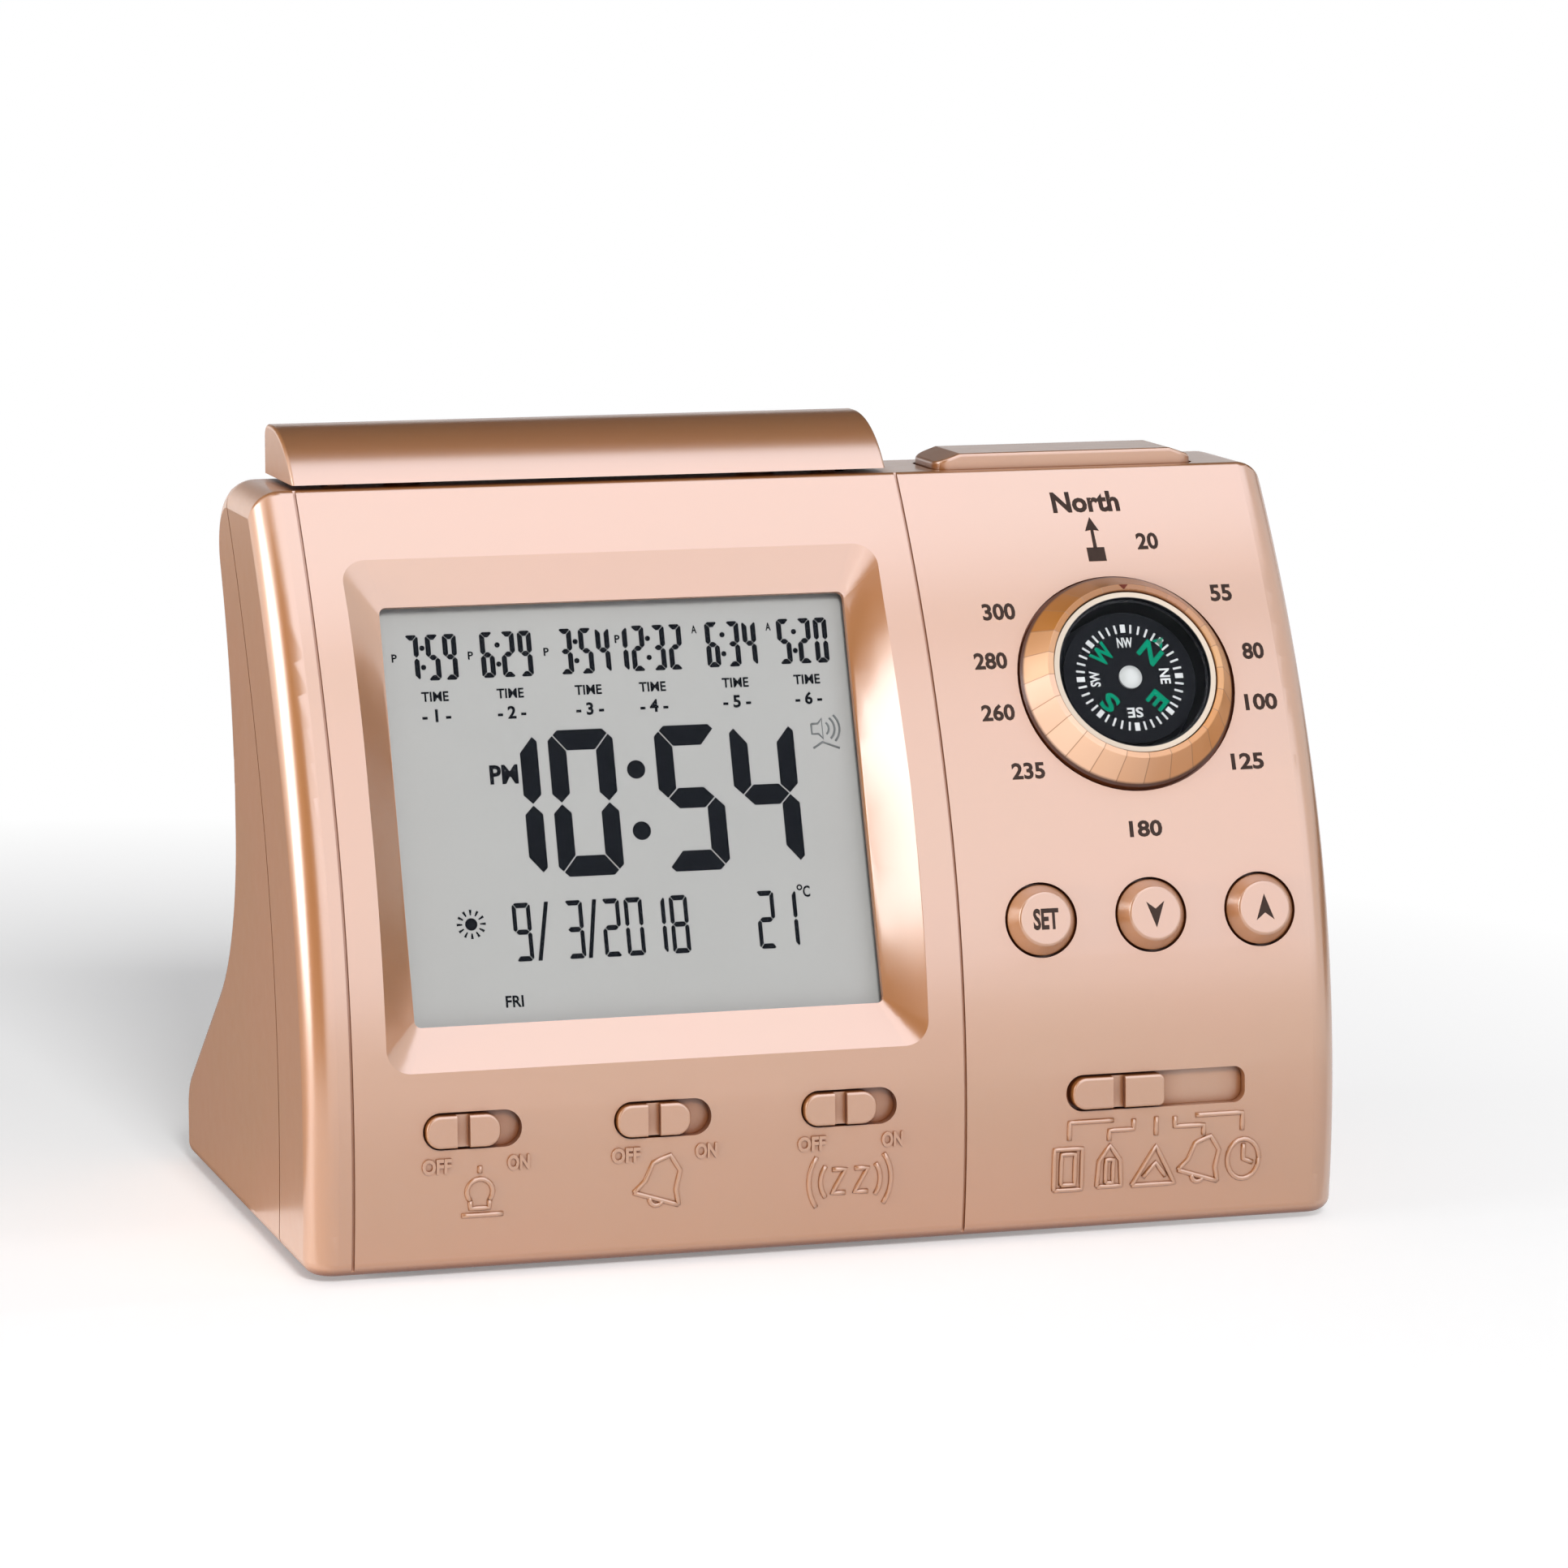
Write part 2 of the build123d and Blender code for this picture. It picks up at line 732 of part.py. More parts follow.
# ---- Front shell ---------------------------------------------------------------------------
with BuildPart() as front_shell:
    add(case_block.part)
    extrude(front_zone(seam_setback), amount=case_width, both=True, mode=Mode.INTERSECT)
    add(cavity, mode=Mode.SUBTRACT)
    # The pod behind the display frame, then the funnel, window and lens seat cut into it.
    add(display_pod.part)
    add(display_well(glass_width, glass_height, 0, 0), mode=Mode.SUBTRACT)
    with BuildSketch(display_plane(frame_lip)):
        RectangleRounded(glass_width, glass_height, glass_corner)
    extrude(amount=-2 * frame_lip, mode=Mode.SUBTRACT)
    with BuildSketch(display_plane(-frame_lip)):
        Rectangle(lens_width, lens_height)
    extrude(amount=-2 * pod_depth, mode=Mode.SUBTRACT)
    with BuildSketch(display_plane(-pod_depth)):
        with GridLocations(2 * board_boss_x, 2 * board_boss_spread, 2, 2):
            Circle(small_screw_radius + pilot_slack)
    extrude(amount=small_screw_length - board_thickness, mode=Mode.SUBTRACT)
    # Collar, flange seat and ring seat for the compass.
    with BuildSketch(compass_face.offset(-capsule_depth)):
        Circle(collar_radius)
    extrude(amount=capsule_depth - wall / 2)
    with BuildSketch(compass_face.offset(-ring_seat_depth)):
        Circle(ring_radius + seam_gap)
    extrude(amount=3 * ring_seat_depth, mode=Mode.SUBTRACT)
    with BuildSketch(compass_face.offset(-capsule_seat)):
        Circle(capsule_radius + slip + capsule_flange)
    extrude(amount=2 * capsule_seat, mode=Mode.SUBTRACT)
    with BuildSketch(compass_face):
        Circle(capsule_radius + slip)
    extrude(amount=2 * capsule_depth, both=True, mode=Mode.SUBTRACT)
    # Key holes, and posts for the key board.
    for x in key_x.values():
        with BuildSketch(face_plane(x, key_height)):
            Circle(key_radius + running)
        extrude(amount=2 * wall, both=True, mode=Mode.SUBTRACT)
    with BuildSketch(face_plane(key_middle_x, key_height, key_board_lift)):
        with Locations((-key_boss_x, key_boss_y), (key_boss_x, key_boss_y)):
            Circle(small_boss_radius)
    extrude(amount=-key_board_lift - wall / 2)
    with BuildSketch(face_plane(key_middle_x, key_height, key_board_lift)):
        with Locations((-key_boss_x, key_boss_y), (key_boss_x, key_boss_y)):
            Circle(small_screw_radius + pilot_slack)
    extrude(amount=small_screw_length, mode=Mode.SUBTRACT)
    # Slots, with the front thinned behind each one for its plate to run in.
    for slide in slides.values():
        left = skirt_left(slide) - slip
        right = skirt_right(slide) + slide_travel(slide) + slip
        with BuildSketch(face_plane(slide.x, slide_height)) as slot:
            Rectangle(slide.slot_length, slot_width)
            fillet(slot.vertices().group_by(Axis.X)[0], slot_width * slot_end)
            fillet(slot.vertices().group_by(Axis.X)[-1], slide.slot_corner)
        extrude(amount=2 * wall, both=True, mode=Mode.SUBTRACT)
        with BuildSketch(face_plane((left + right) / 2, slide_height, -slot_wall)):
            Rectangle(right - left, skirt_height + 2 * running)
        extrude(amount=-wall, mode=Mode.SUBTRACT)
    with BuildSketch(face_plane(0, slide_height, slide_board_lift)):
        with Locations(*[(x, slide_boss_y) for x in slide_boss_x]):
            Circle(small_boss_radius)
    extrude(amount=-slide_board_lift - wall / 2)
    with BuildSketch(face_plane(0, slide_height, slide_board_lift)):
        with Locations(*[(x, slide_boss_y) for x in slide_boss_x]):
            Circle(small_screw_radius + pilot_slack)
    extrude(amount=small_screw_length, mode=Mode.SUBTRACT)
    # Grooves down the face.
    for x in groove_x:
        band = front_zone(groove_depth, x)
        extrude(band, amount=groove_width / 2, both=True, mode=Mode.SUBTRACT)
    # Posts for the top board, and openings in the roof for the push pieces.
    with BuildSketch(roof_plane(0, top_board_z)):
        with Locations(*[(x, 0) for x in top_board_post_x]):
            Circle(small_boss_radius)
    extrude(amount=top_board_depth - wall / 2)
    with BuildSketch(roof_plane(0, top_board_z)):
        with Locations(*[(x, 0) for x in top_board_post_x]):
            Circle(small_screw_radius + pilot_slack)
    extrude(amount=small_screw_length, mode=Mode.SUBTRACT)
    with BuildSketch(roof_plane(0, roof_z)):
        with Locations(*[(x, 0) for x in bar_post_x]):
            Circle(bar_post_radius + running)
        for x, side in hooks.items():
            with Locations((x + side * hook_reach / 2, 0)):
                Rectangle(hook_thickness + hook_reach + 2 * running, hook_width + 2 * running)
    extrude(amount=2 * wall, both=True, mode=Mode.SUBTRACT)
    extrude(long_key_plan(roof_z, running), amount=2 * wall, both=True, mode=Mode.SUBTRACT)
    # Bosses that the case screws bite into.
    add(screw_bosses.part)
    for x, height in case_screw_spots:
        with BuildSketch(screw_plane(x, height, boss_setback)):
            Circle(screw_radius + pilot_slack)
        extrude(amount=screw_length - wall + screw_end_gap, mode=Mode.SUBTRACT)
    # Sockets for the front feet.
    with BuildSketch(Plane((0, front_y + front_foot_y, floor_z))):
        with GridLocations(2 * foot_x, 1, 2, 1):
            Circle(foot_radius + slip)
    extrude(amount=foot_recess, mode=Mode.SUBTRACT)
front_shell.part.label = "front_shell"
export_step(front_shell.part, "parts/front_shell.step")


# ---- Battery bay ---------------------------------------------------------------------------
cell_z = floor_z + door_thickness + running + cell_radius
cell_y = [front_y + bay_y + side * cell_pitch / 2 for side in (-1, 1)]
bay_half = (cell_length + cell_nub_length + spring_length) / 2 + contact_thickness
door_half = bay_half + door_margin
door_front_y = cell_y[0] - cell_radius - bay_slack - rib
door_top_z = floor_z + door_thickness
pad_half = door_half + door_tongue + slip + rib


def bay_side(grow):
    """Two round troughs, open towards the table, grown all round."""
    radius = cell_radius + bay_slack + grow
    with BuildSketch(Plane.YZ) as side:
        for y in cell_y:
            with Locations((y, cell_z)):
                Circle(radius)
                Rectangle(2 * radius, cell_z, align=(Align.CENTER, Align.MAX))
    return side.sketch


with BuildPart() as bay_block:
    extrude(bay_side(rib), amount=bay_half + rib, both=True)
    with BuildSketch(Plane((0, door_front_y - slip - rib, floor_z))):
        Rectangle(2 * pad_half, case_depth, align=(Align.CENTER, Align.MIN))
    extrude(amount=door_thickness + slip + door_roof)
    add(case_block.part, mode=Mode.INTERSECT)

with BuildPart() as door_room:
    with BuildSketch(Plane((0, door_front_y - slip, 0))):
        Rectangle(2 * (door_half + slip), case_depth, align=(Align.CENTER, Align.MIN))
    extrude(amount=door_top_z + slip)
    with BuildSketch(Plane((0, door_front_y - slip, door_top_z - door_tongue_thickness - slip))):
        Rectangle(
            2 * (door_half + door_tongue + slip), case_depth, align=(Align.CENTER, Align.MIN)
        )
    extrude(amount=door_tongue_thickness + 2 * slip)

# ---- Speaker seat --------------------------------------------------------------------------
speaker_seat_y = waist_y - wall - speaker_seat_lift


def speaker_plane(lift=0.0):
    """A plane across the speaker, looking forwards, ahead of its seat by lift."""
    return leaning_plane(speaker_x, speaker_seat_y, floor_z + speaker_height).offset(lift)


with BuildPart() as speaker_ring:
    with BuildSketch(speaker_plane(speaker_pocket)):
        Circle(speaker_radius + slip + rib)
    extrude(amount=-(speaker_pocket + shoulder_radius))
    with BuildSketch(speaker_plane(speaker_pocket)):
        Circle(speaker_radius + slip)
    extrude(amount=-speaker_pocket, mode=Mode.SUBTRACT)
    with BuildSketch(speaker_plane()):
        Circle(cone_radius + rib)
    extrude(amount=-2 * shoulder_radius, mode=Mode.SUBTRACT)
    add(case_block.part, mode=Mode.INTERSECT)

# ---- Tubes that the case screws go down, and the lip that locates the two halves -------------
with BuildPart() as screw_tubes:
    for x, height in case_screw_spots:
        with BuildSketch(screw_plane(x, height, boss_setback)):
            Circle(screw_head_radius + running + rib)
        extrude(amount=-case_depth)
    add(case_block.part, mode=Mode.INTERSECT)

lip_inset = wall + slip
with BuildPart() as seam_lip:
    add(inset_block(lip_inset))
    add(inset_block(lip_inset + lip_thickness), mode=Mode.SUBTRACT)
    lip_end = front_zone(boss_setback + lip_reach)
    extrude(lip_end, amount=case_width, both=True, mode=Mode.INTERSECT)
    lip_start = front_zone(seam_setback - lip_reach)
    extrude(lip_start, amount=case_width, both=True, mode=Mode.SUBTRACT)

with BuildPart() as lip_root:
    add(inset_block(wall / 2))
    add(inset_block(lip_inset + lip_thickness), mode=Mode.SUBTRACT)
    extrude(lip_end, amount=case_width, both=True, mode=Mode.INTERSECT)
    root_start = front_zone(boss_setback)
    extrude(root_start, amount=case_width, both=True, mode=Mode.SUBTRACT)

# ---- Rear shell ----------------------------------------------------------------------------
with BuildPart() as rear_shell:
    add(case_block.part)
    extrude(root_start, amount=case_width, both=True, mode=Mode.SUBTRACT)
    add(cavity, mode=Mode.SUBTRACT)
    add(seam_lip.part)
    add(lip_root.part)
    add(screw_tubes.part)
    add(speaker_ring.part)
    add(bay_block.part)
    for x, height in case_screw_spots:
        with BuildSketch(screw_plane(x, height, head_setback)):
            Circle(screw_head_radius + running)
        extrude(amount=-case_depth, mode=Mode.SUBTRACT)
        with BuildSketch(screw_plane(x, height, head_setback)):
            Circle(screw_radius + slip)
        extrude(amount=2 * wall, mode=Mode.SUBTRACT)
    with BuildSketch(speaker_plane()):
        for row in range(grille_slots):
            offset_z = (row - (grille_slots - 1) / 2) * grille_pitch
            length = 2 * sqrt(grille_radius**2 - offset_z**2)
            with Locations((0, offset_z)):
                SlotOverall(length, grille_slot_width)
    extrude(amount=-2 * shoulder_radius, mode=Mode.SUBTRACT)
    add(door_room.part, mode=Mode.SUBTRACT)
    extrude(bay_side(0), amount=bay_half, both=True, mode=Mode.SUBTRACT)
    with BuildSketch(Plane((0, front_y + rear_foot_y, floor_z))):
        with GridLocations(2 * foot_x, 1, 2, 1):
            Circle(foot_radius + slip)
    extrude(amount=foot_recess, mode=Mode.SUBTRACT)
rear_shell.part.label = "rear_shell"
export_step(rear_shell.part, "parts/rear_shell.step")

# ---- Battery door, cells, contacts and springs ---------------------------------------------
with BuildPart() as battery_door:
    add(case_block.part)
    with BuildSketch(Plane((0, door_front_y, floor_z))):
        Rectangle(2 * door_half, case_depth, align=(Align.CENTER, Align.MIN))
    extrude(amount=door_thickness, mode=Mode.INTERSECT)
    tongue_length = back_y - base_edge_radius - door_front_y
    with BuildSketch(Plane((0, door_front_y, door_top_z))):
        Rectangle(
            2 * (door_half + door_tongue), tongue_length, align=(Align.CENTER, Align.MIN)
        )
    extrude(amount=-door_tongue_thickness)
    with BuildSketch(Plane((0, back_y - grip_inset, floor_z))):
        with GridLocations(1, grip_pitch, 1, 3):
            SlotOverall(grip_length, grip_pitch / 2)
    extrude(amount=grip_depth, mode=Mode.SUBTRACT)
battery_door.part.label = "battery_door"
export_step(battery_door.part, "parts/battery_door.step")

# The front cell points its nub to the right and the rear cell to the left.
with BuildPart() as battery_cells:
    for y, side in zip(cell_y, (1, -1)):
        nub_end = side * (bay_half - contact_thickness)
        shoulder_x = nub_end - side * cell_nub_length
        with BuildSketch(Plane.YZ.offset(nub_end)):
            with Locations((y, cell_z)):
                Circle(cell_nub_radius)
        extrude(amount=-side * cell_nub_length)
        with BuildSketch(Plane.YZ.offset(shoulder_x)):
            with Locations((y, cell_z)):
                Circle(cell_radius)
        extrude(amount=-side * cell_length)
battery_cells.part.label = "battery_cells"
export_step(battery_cells.part, "parts/battery_cells.step")

with BuildPart() as battery_contacts:
    with BuildSketch(Plane.YZ.offset(bay_half)):
        with Locations(*[(y, cell_z) for y in cell_y]):
            Rectangle(contact_width, contact_height)
    extrude(amount=-contact_thickness)
    with BuildSketch(Plane.YZ.offset(-bay_half)):
        with Locations(*[(y, cell_z) for y in cell_y]):
            Rectangle(contact_width, contact_height)
        with Locations((sum(cell_y) / 2, cell_z - contact_height / 4)):
            Rectangle(cell_pitch, contact_height / 2)
    extrude(amount=contact_thickness)
battery_contacts.part.label = "battery_contacts"
export_step(battery_contacts.part, "parts/battery_contacts.step")


def battery_spring(y, side):
    """A tapered coil spring from a contact plate to the flat end of a cell."""
    plate_x = -side * (bay_half - contact_thickness - spring_wire_radius)
    length = spring_length - 2 * spring_wire_radius
    with BuildPart() as spring:
        with BuildLine() as coil:
            Helix(
                length / spring_turns,
                length,
                spring_radius,
                center=(plate_x, y, cell_z),
                direction=(side, 0, 0),
                cone_angle=-15,
            )
        with BuildSketch(Plane(coil.line @ 0, z_dir=coil.line % 0)):
            Circle(spring_wire_radius)
        sweep()
    return spring.part


with BuildPart() as battery_springs:
    add(battery_spring(cell_y[0], 1))
    add(battery_spring(cell_y[1], -1))
battery_springs.part.label = "battery_springs"
export_step(battery_springs.part, "parts/battery_springs.step")


# ---- Display stack -------------------------------------------------------------------------
def display_slab(width, height, depth, thickness):
    """A flat piece of the display stack whose front lies a depth behind the opening."""
    with BuildPart() as slab:
        with BuildSketch(display_plane(-depth)):
            Rectangle(width, height)
        extrude(amount=-thickness)
    return slab.part


with BuildPart() as display_lens:
    add(display_slab(lens_width - 2 * slip, lens_height - 2 * slip, frame_lip, lens_thickness))
display_lens.part.label = "display_lens"
export_step(display_lens.part, "parts/display_lens.step")

with BuildPart() as lcd_panel:
    add(display_slab(lens_width - 2 * slip, lens_height - 2 * slip, lcd_depth, lcd_thickness))
lcd_panel.part.label = "lcd_panel"
export_step(lcd_panel.part, "parts/lcd_panel.step")

diffuser_height = lens_height - 2 * (zebra_height + running)
with BuildPart() as lcd_diffuser:
    add(display_slab(glass_width, diffuser_height, diffuser_depth, diffuser_thickness))
lcd_diffuser.part.label = "lcd_diffuser"
export_step(lcd_diffuser.part, "parts/lcd_diffuser.step")

with BuildPart() as zebra_strips:
    with BuildSketch(display_plane(-lcd_depth - lcd_thickness)):
        with GridLocations(1, lens_height - zebra_height - 2 * slip, 1, 2):
            Rectangle(glass_width, zebra_height)
    extrude(amount=-(pod_depth - lcd_depth - lcd_thickness))
zebra_strips.part.label = "zebra_strips"
export_step(zebra_strips.part, "parts/zebra_strips.step")

with BuildPart() as main_board:
    with BuildSketch(display_plane(-pod_depth)):
        Rectangle(pod_width, pod_height)
        Rectangle(
            2 * (board_boss_x + small_boss_radius),
            2 * (board_boss_spread + small_boss_radius),
        )
        with GridLocations(2 * board_boss_x, 2 * board_boss_spread, 2, 2):
            Circle(small_screw_radius + slip, mode=Mode.SUBTRACT)
    extrude(amount=-board_thickness)
main_board.part.label = "main_board"
export_step(main_board.part, "parts/main_board.step")


# ---- Compass pieces ------------------------------------------------------------------------
def compass_disc(radius, lift, thickness, hole=0.0):
    """A flat disc on the compass's axis, with its underside at a lift."""
    with BuildPart() as disc:
        with BuildSketch(compass_face.offset(lift)):
            Circle(radius)
            if hole:
                Circle(hole, mode=Mode.SUBTRACT)
        extrude(amount=thickness)
    return disc.part


with BuildPart() as compass_ring:
    with BuildSketch(compass_section) as section:
        with BuildLine():
            Polyline(
                (capsule_radius + slip, -ring_seat_depth),
                (ring_radius, -ring_seat_depth),
                (ring_radius, 0),
                (ring_top_radius, ring_rise),
                (capsule_radius + slip, ring_rise),
                close=True,
            )
        make_face()
        fillet(section.vertices().group_by(Axis.Y)[-1], slip)
    revolve(axis=compass_axis)
compass_ring.part.label = "compass_ring"
export_step(compass_ring.part, "parts/compass_ring.step")

capsule_bore = capsule_radius - capsule_wall
capsule_mouth = capsule_radius - capsule_rim_wall
capsule_bed = capsule_floor - capsule_depth
with BuildPart() as compass_cup:
    with BuildSketch(compass_section):
        with BuildLine():
            Polyline(
                (0, -capsule_depth),
                (capsule_radius, -capsule_depth),
                (capsule_radius, -capsule_seat),
                (capsule_radius + capsule_flange, -capsule_seat),
                (capsule_radius + capsule_flange, -ring_seat_depth),
                (capsule_radius, -ring_seat_depth),
                (capsule_radius, capsule_rim_lift),
                (capsule_mouth, capsule_rim_lift),
                (capsule_mouth, window_lift),
                (capsule_bore, window_lift),
                (capsule_bore, capsule_bed),
                (0, capsule_bed),
                close=True,
            )
        make_face()
    revolve(axis=compass_axis)
compass_cup.part.label = "compass_cup"
export_step(compass_cup.part, "parts/compass_cup.step")

with BuildPart() as compass_window:
    window_rim = capsule_mouth - slip
    with BuildSketch(compass_section):
        with BuildLine():
            Line((0, window_lift), (window_rim, window_lift))
            Line((window_rim, window_lift), (window_rim, window_lift + window_edge))
            RadiusArc(
                (window_rim, window_lift + window_edge),
                (0, window_lift + window_edge + window_dome),
                -(window_rim**2 + window_dome**2) / (2 * window_dome),
            )
            Line((0, window_lift + window_edge + window_dome), (0, window_lift))
        make_face()
    revolve(axis=compass_axis)
compass_window.part.label = "compass_window"
export_step(compass_window.part, "parts/compass_window.step")

with BuildPart() as compass_base:
    add(compass_disc(capsule_bore - slip, capsule_bed, base_thickness, pivot_radius + slip))
compass_base.part.label = "compass_base"
export_step(compass_base.part, "parts/compass_base.step")

hub_bottom = card_lift - needle_thickness
recess_depth = needle_thickness + card_thickness / 2
pivot_tip = hub_bottom + recess_depth - pivot_tip_gap
with BuildPart() as compass_pivot:
    with BuildSketch(compass_section):
        with BuildLine():
            Polyline(
                (0, capsule_bed),
                (pivot_radius, capsule_bed),
                (pivot_radius, hub_bottom),
                (0, pivot_tip),
                close=True,
            )
        make_face()
    revolve(axis=compass_axis)
compass_pivot.part.label = "compass_pivot"
export_step(compass_pivot.part, "parts/compass_pivot.step")

with BuildPart() as compass_card:
    add(compass_disc(card_radius, card_lift, card_thickness, hub_radius + slip / 2))
compass_card.part.label = "compass_card"
export_step(compass_card.part, "parts/compass_card.step")

hub_cap_lift = card_lift + card_thickness
with BuildPart() as compass_hub:
    with BuildSketch(compass_section):
        with BuildLine():
            Line((0, hub_bottom + recess_depth), (2 * pivot_radius, hub_bottom))
            Line((2 * pivot_radius, hub_bottom), (hub_radius, hub_bottom))
            Line((hub_radius, hub_bottom), (hub_radius, hub_cap_lift))
            Line((hub_radius, hub_cap_lift), (hub_cap_radius, hub_cap_lift))
            Line((hub_cap_radius, hub_cap_lift), (hub_cap_radius, hub_cap_lift + hub_rise / 3))
            RadiusArc(
                (hub_cap_radius, hub_cap_lift + hub_rise / 3),
                (0, hub_cap_lift + hub_rise),
                -(hub_cap_radius**2 + (2 * hub_rise / 3) ** 2) / (4 * hub_rise / 3),
            )
            Line((0, hub_cap_lift + hub_rise), (0, hub_bottom + recess_depth))
        make_face()
    revolve(axis=compass_axis)
compass_hub.part.label = "compass_hub"
export_step(compass_hub.part, "parts/compass_hub.step")

with BuildPart() as compass_needle:
    with BuildSketch(compass_face.offset(hub_bottom)):
        Rectangle(needle_length, needle_width, rotation=card_turn)
        Circle(hub_radius + slip / 2, mode=Mode.SUBTRACT)
    extrude(amount=needle_thickness)
compass_needle.part.label = "compass_needle"
export_step(compass_needle.part, "parts/compass_needle.step")

# ---- Keys, their switches and their board --------------------------------------------------
for name, x in key_x.items():
    with BuildPart() as key:
        add(press_key(x))
    key.part.label = f"{name}_key"
    export_step(key.part, f"parts/{name}_key.step")
    with BuildPart() as plunger:
        add(tact_plunger(face_plane(x, key_height, key_switch_lift)))
    plunger.part.label = f"{name}_plunger"
    export_step(plunger.part, f"parts/{name}_plunger.step")

with BuildPart() as key_switches:
    for x in key_x.values():
        add(tact_switch(face_plane(x, key_height, key_switch_lift)))
key_switches.part.label = "key_switches"
export_step(key_switches.part, "parts/key_switches.step")

key_board_y = (key_board_height - 1.3 * tact_side) / 2
with BuildPart() as key_board:
    with BuildSketch(face_plane(key_middle_x, key_height, key_board_lift)):
        with Locations((0, key_board_y)):
            Rectangle(key_board_width, key_board_height)
        with Locations((-key_boss_x, key_boss_y), (key_boss_x, key_boss_y)):
            Circle(small_screw_radius + slip, mode=Mode.SUBTRACT)
    extrude(amount=-board_thickness)
key_board.part.label = "key_board"
export_step(key_board.part, "parts/key_board.step")

# ---- Slides, their switches and their board ------------------------------------------------
for name, slide in slides.items():
    knob_name = "selector" if name == "selector" else f"{name}_slide"
    with BuildPart() as knob:
        add(slide_knob(slide))
    knob.part.label = f"{knob_name}_knob"
    export_step(knob.part, f"parts/{knob_name}_knob.step")
    with BuildPart() as lever:
        add(slide_lever(slide))
    lever.part.label = f"{knob_name}_lever"
    export_step(lever.part, f"parts/{knob_name}_lever.step")

with BuildPart() as slide_switches:
    for slide in slides.values():
        add(slide_switch(slide))
slide_switches.part.label = "slide_switches"
export_step(slide_switches.part, "parts/slide_switches.step")

slide_board_x = (slide_board_left + slide_board_right) / 2
with BuildPart() as slide_board:
    with BuildSketch(face_plane(0, slide_height, slide_board_lift)):
        with Locations((slide_board_x, slide_board_top)):
            Rectangle(
                slide_board_right - slide_board_left,
                slide_board_height,
                align=(Align.CENTER, Align.MAX),
            )
        with Locations(*[(x, slide_boss_y) for x in slide_boss_x]):
            Circle(small_screw_radius + slip, mode=Mode.SUBTRACT)
    extrude(amount=-board_thickness)
slide_board.part.label = "slide_board"
export_step(slide_board.part, "parts/slide_board.step")

# ---- Press bar -----------------------------------------------------------------------------
with BuildSketch(Plane.YZ.offset(bar_middle)) as bar_side:
    with BuildLine():
        CenterArc(
            (bar_crest_y, bar_crest_z - bar_radius), bar_radius, 90, degrees(bar_slope)
        )
        Polyline(
            (bar_crest_y, bar_crest_z),
            (bar_back_y, bar_crest_z),
            (bar_back_y, bar_base_z),
            (bar_front_y, bar_base_z),
        )
    make_face()
    fillet(bar_side.vertices().group_by(Axis.Y)[-1].sort_by(Axis.X)[-1], bar_back_radius)

with BuildPart() as snooze_bar:
    extrude(bar_side.sketch, amount=bar_length / 2, both=True)
    bar_ends = snooze_bar.faces().filter_by(Axis.X).edges()
    fillet(bar_ends.filter_by(lambda edge: edge.center().Z > bar_base_z + 0.01), bar_edge_radius)
    with BuildSketch(Plane.YZ.offset(bar_middle)):
        add(bar_side.sketch_local)
        offset(amount=-bar_wall, kind=Kind.INTERSECTION)
    extrude(amount=bar_length / 2 - bar_wall, both=True, mode=Mode.SUBTRACT)
    with BuildSketch(Plane((bar_middle, bar_front_y + bar_skirt_inset, bar_base_z))):
        Rectangle(
            bar_length - 2 * bar_wall,
            bar_back_y - bar_wall - bar_front_y - bar_skirt_inset,
            align=(Align.CENTER, Align.MIN),
        )
    extrude(amount=bar_wall + slip, mode=Mode.SUBTRACT)
    with BuildSketch(Plane((0, roof_press_y, plunger_tip_z))):
        with Locations(*[(x, 0) for x in bar_post_x]):
            Circle(bar_post_radius)
    post_top_z = bar_surface_z(roof_press_y - bar_post_radius) - bar_wall / 2
    extrude(amount=post_top_z - plunger_tip_z)
    hook_top_z = bar_surface_z(roof_press_y - hook_width / 2) - bar_wall / 2
    for x, side in hooks.items():
        with BuildSketch(roof_plane(x, flange_top_z - hook_thickness)):
            Rectangle(hook_thickness, hook_width)
        extrude(amount=hook_top_z - flange_top_z + hook_thickness)
        with BuildSketch(roof_plane(x + side * hook_reach, flange_top_z)):
            Rectangle(hook_thickness, hook_width)
        extrude(amount=-hook_thickness)
snooze_bar.part.label = "snooze_bar"
export_step(snooze_bar.part, "parts/snooze_bar.step")

with BuildPart() as bar_plungers:
    for x in bar_post_x:
        add(tact_plunger(roof_plane(x, top_switch_z)))
bar_plungers.part.label = "bar_plungers"
export_step(bar_plungers.part, "parts/bar_plungers.step")

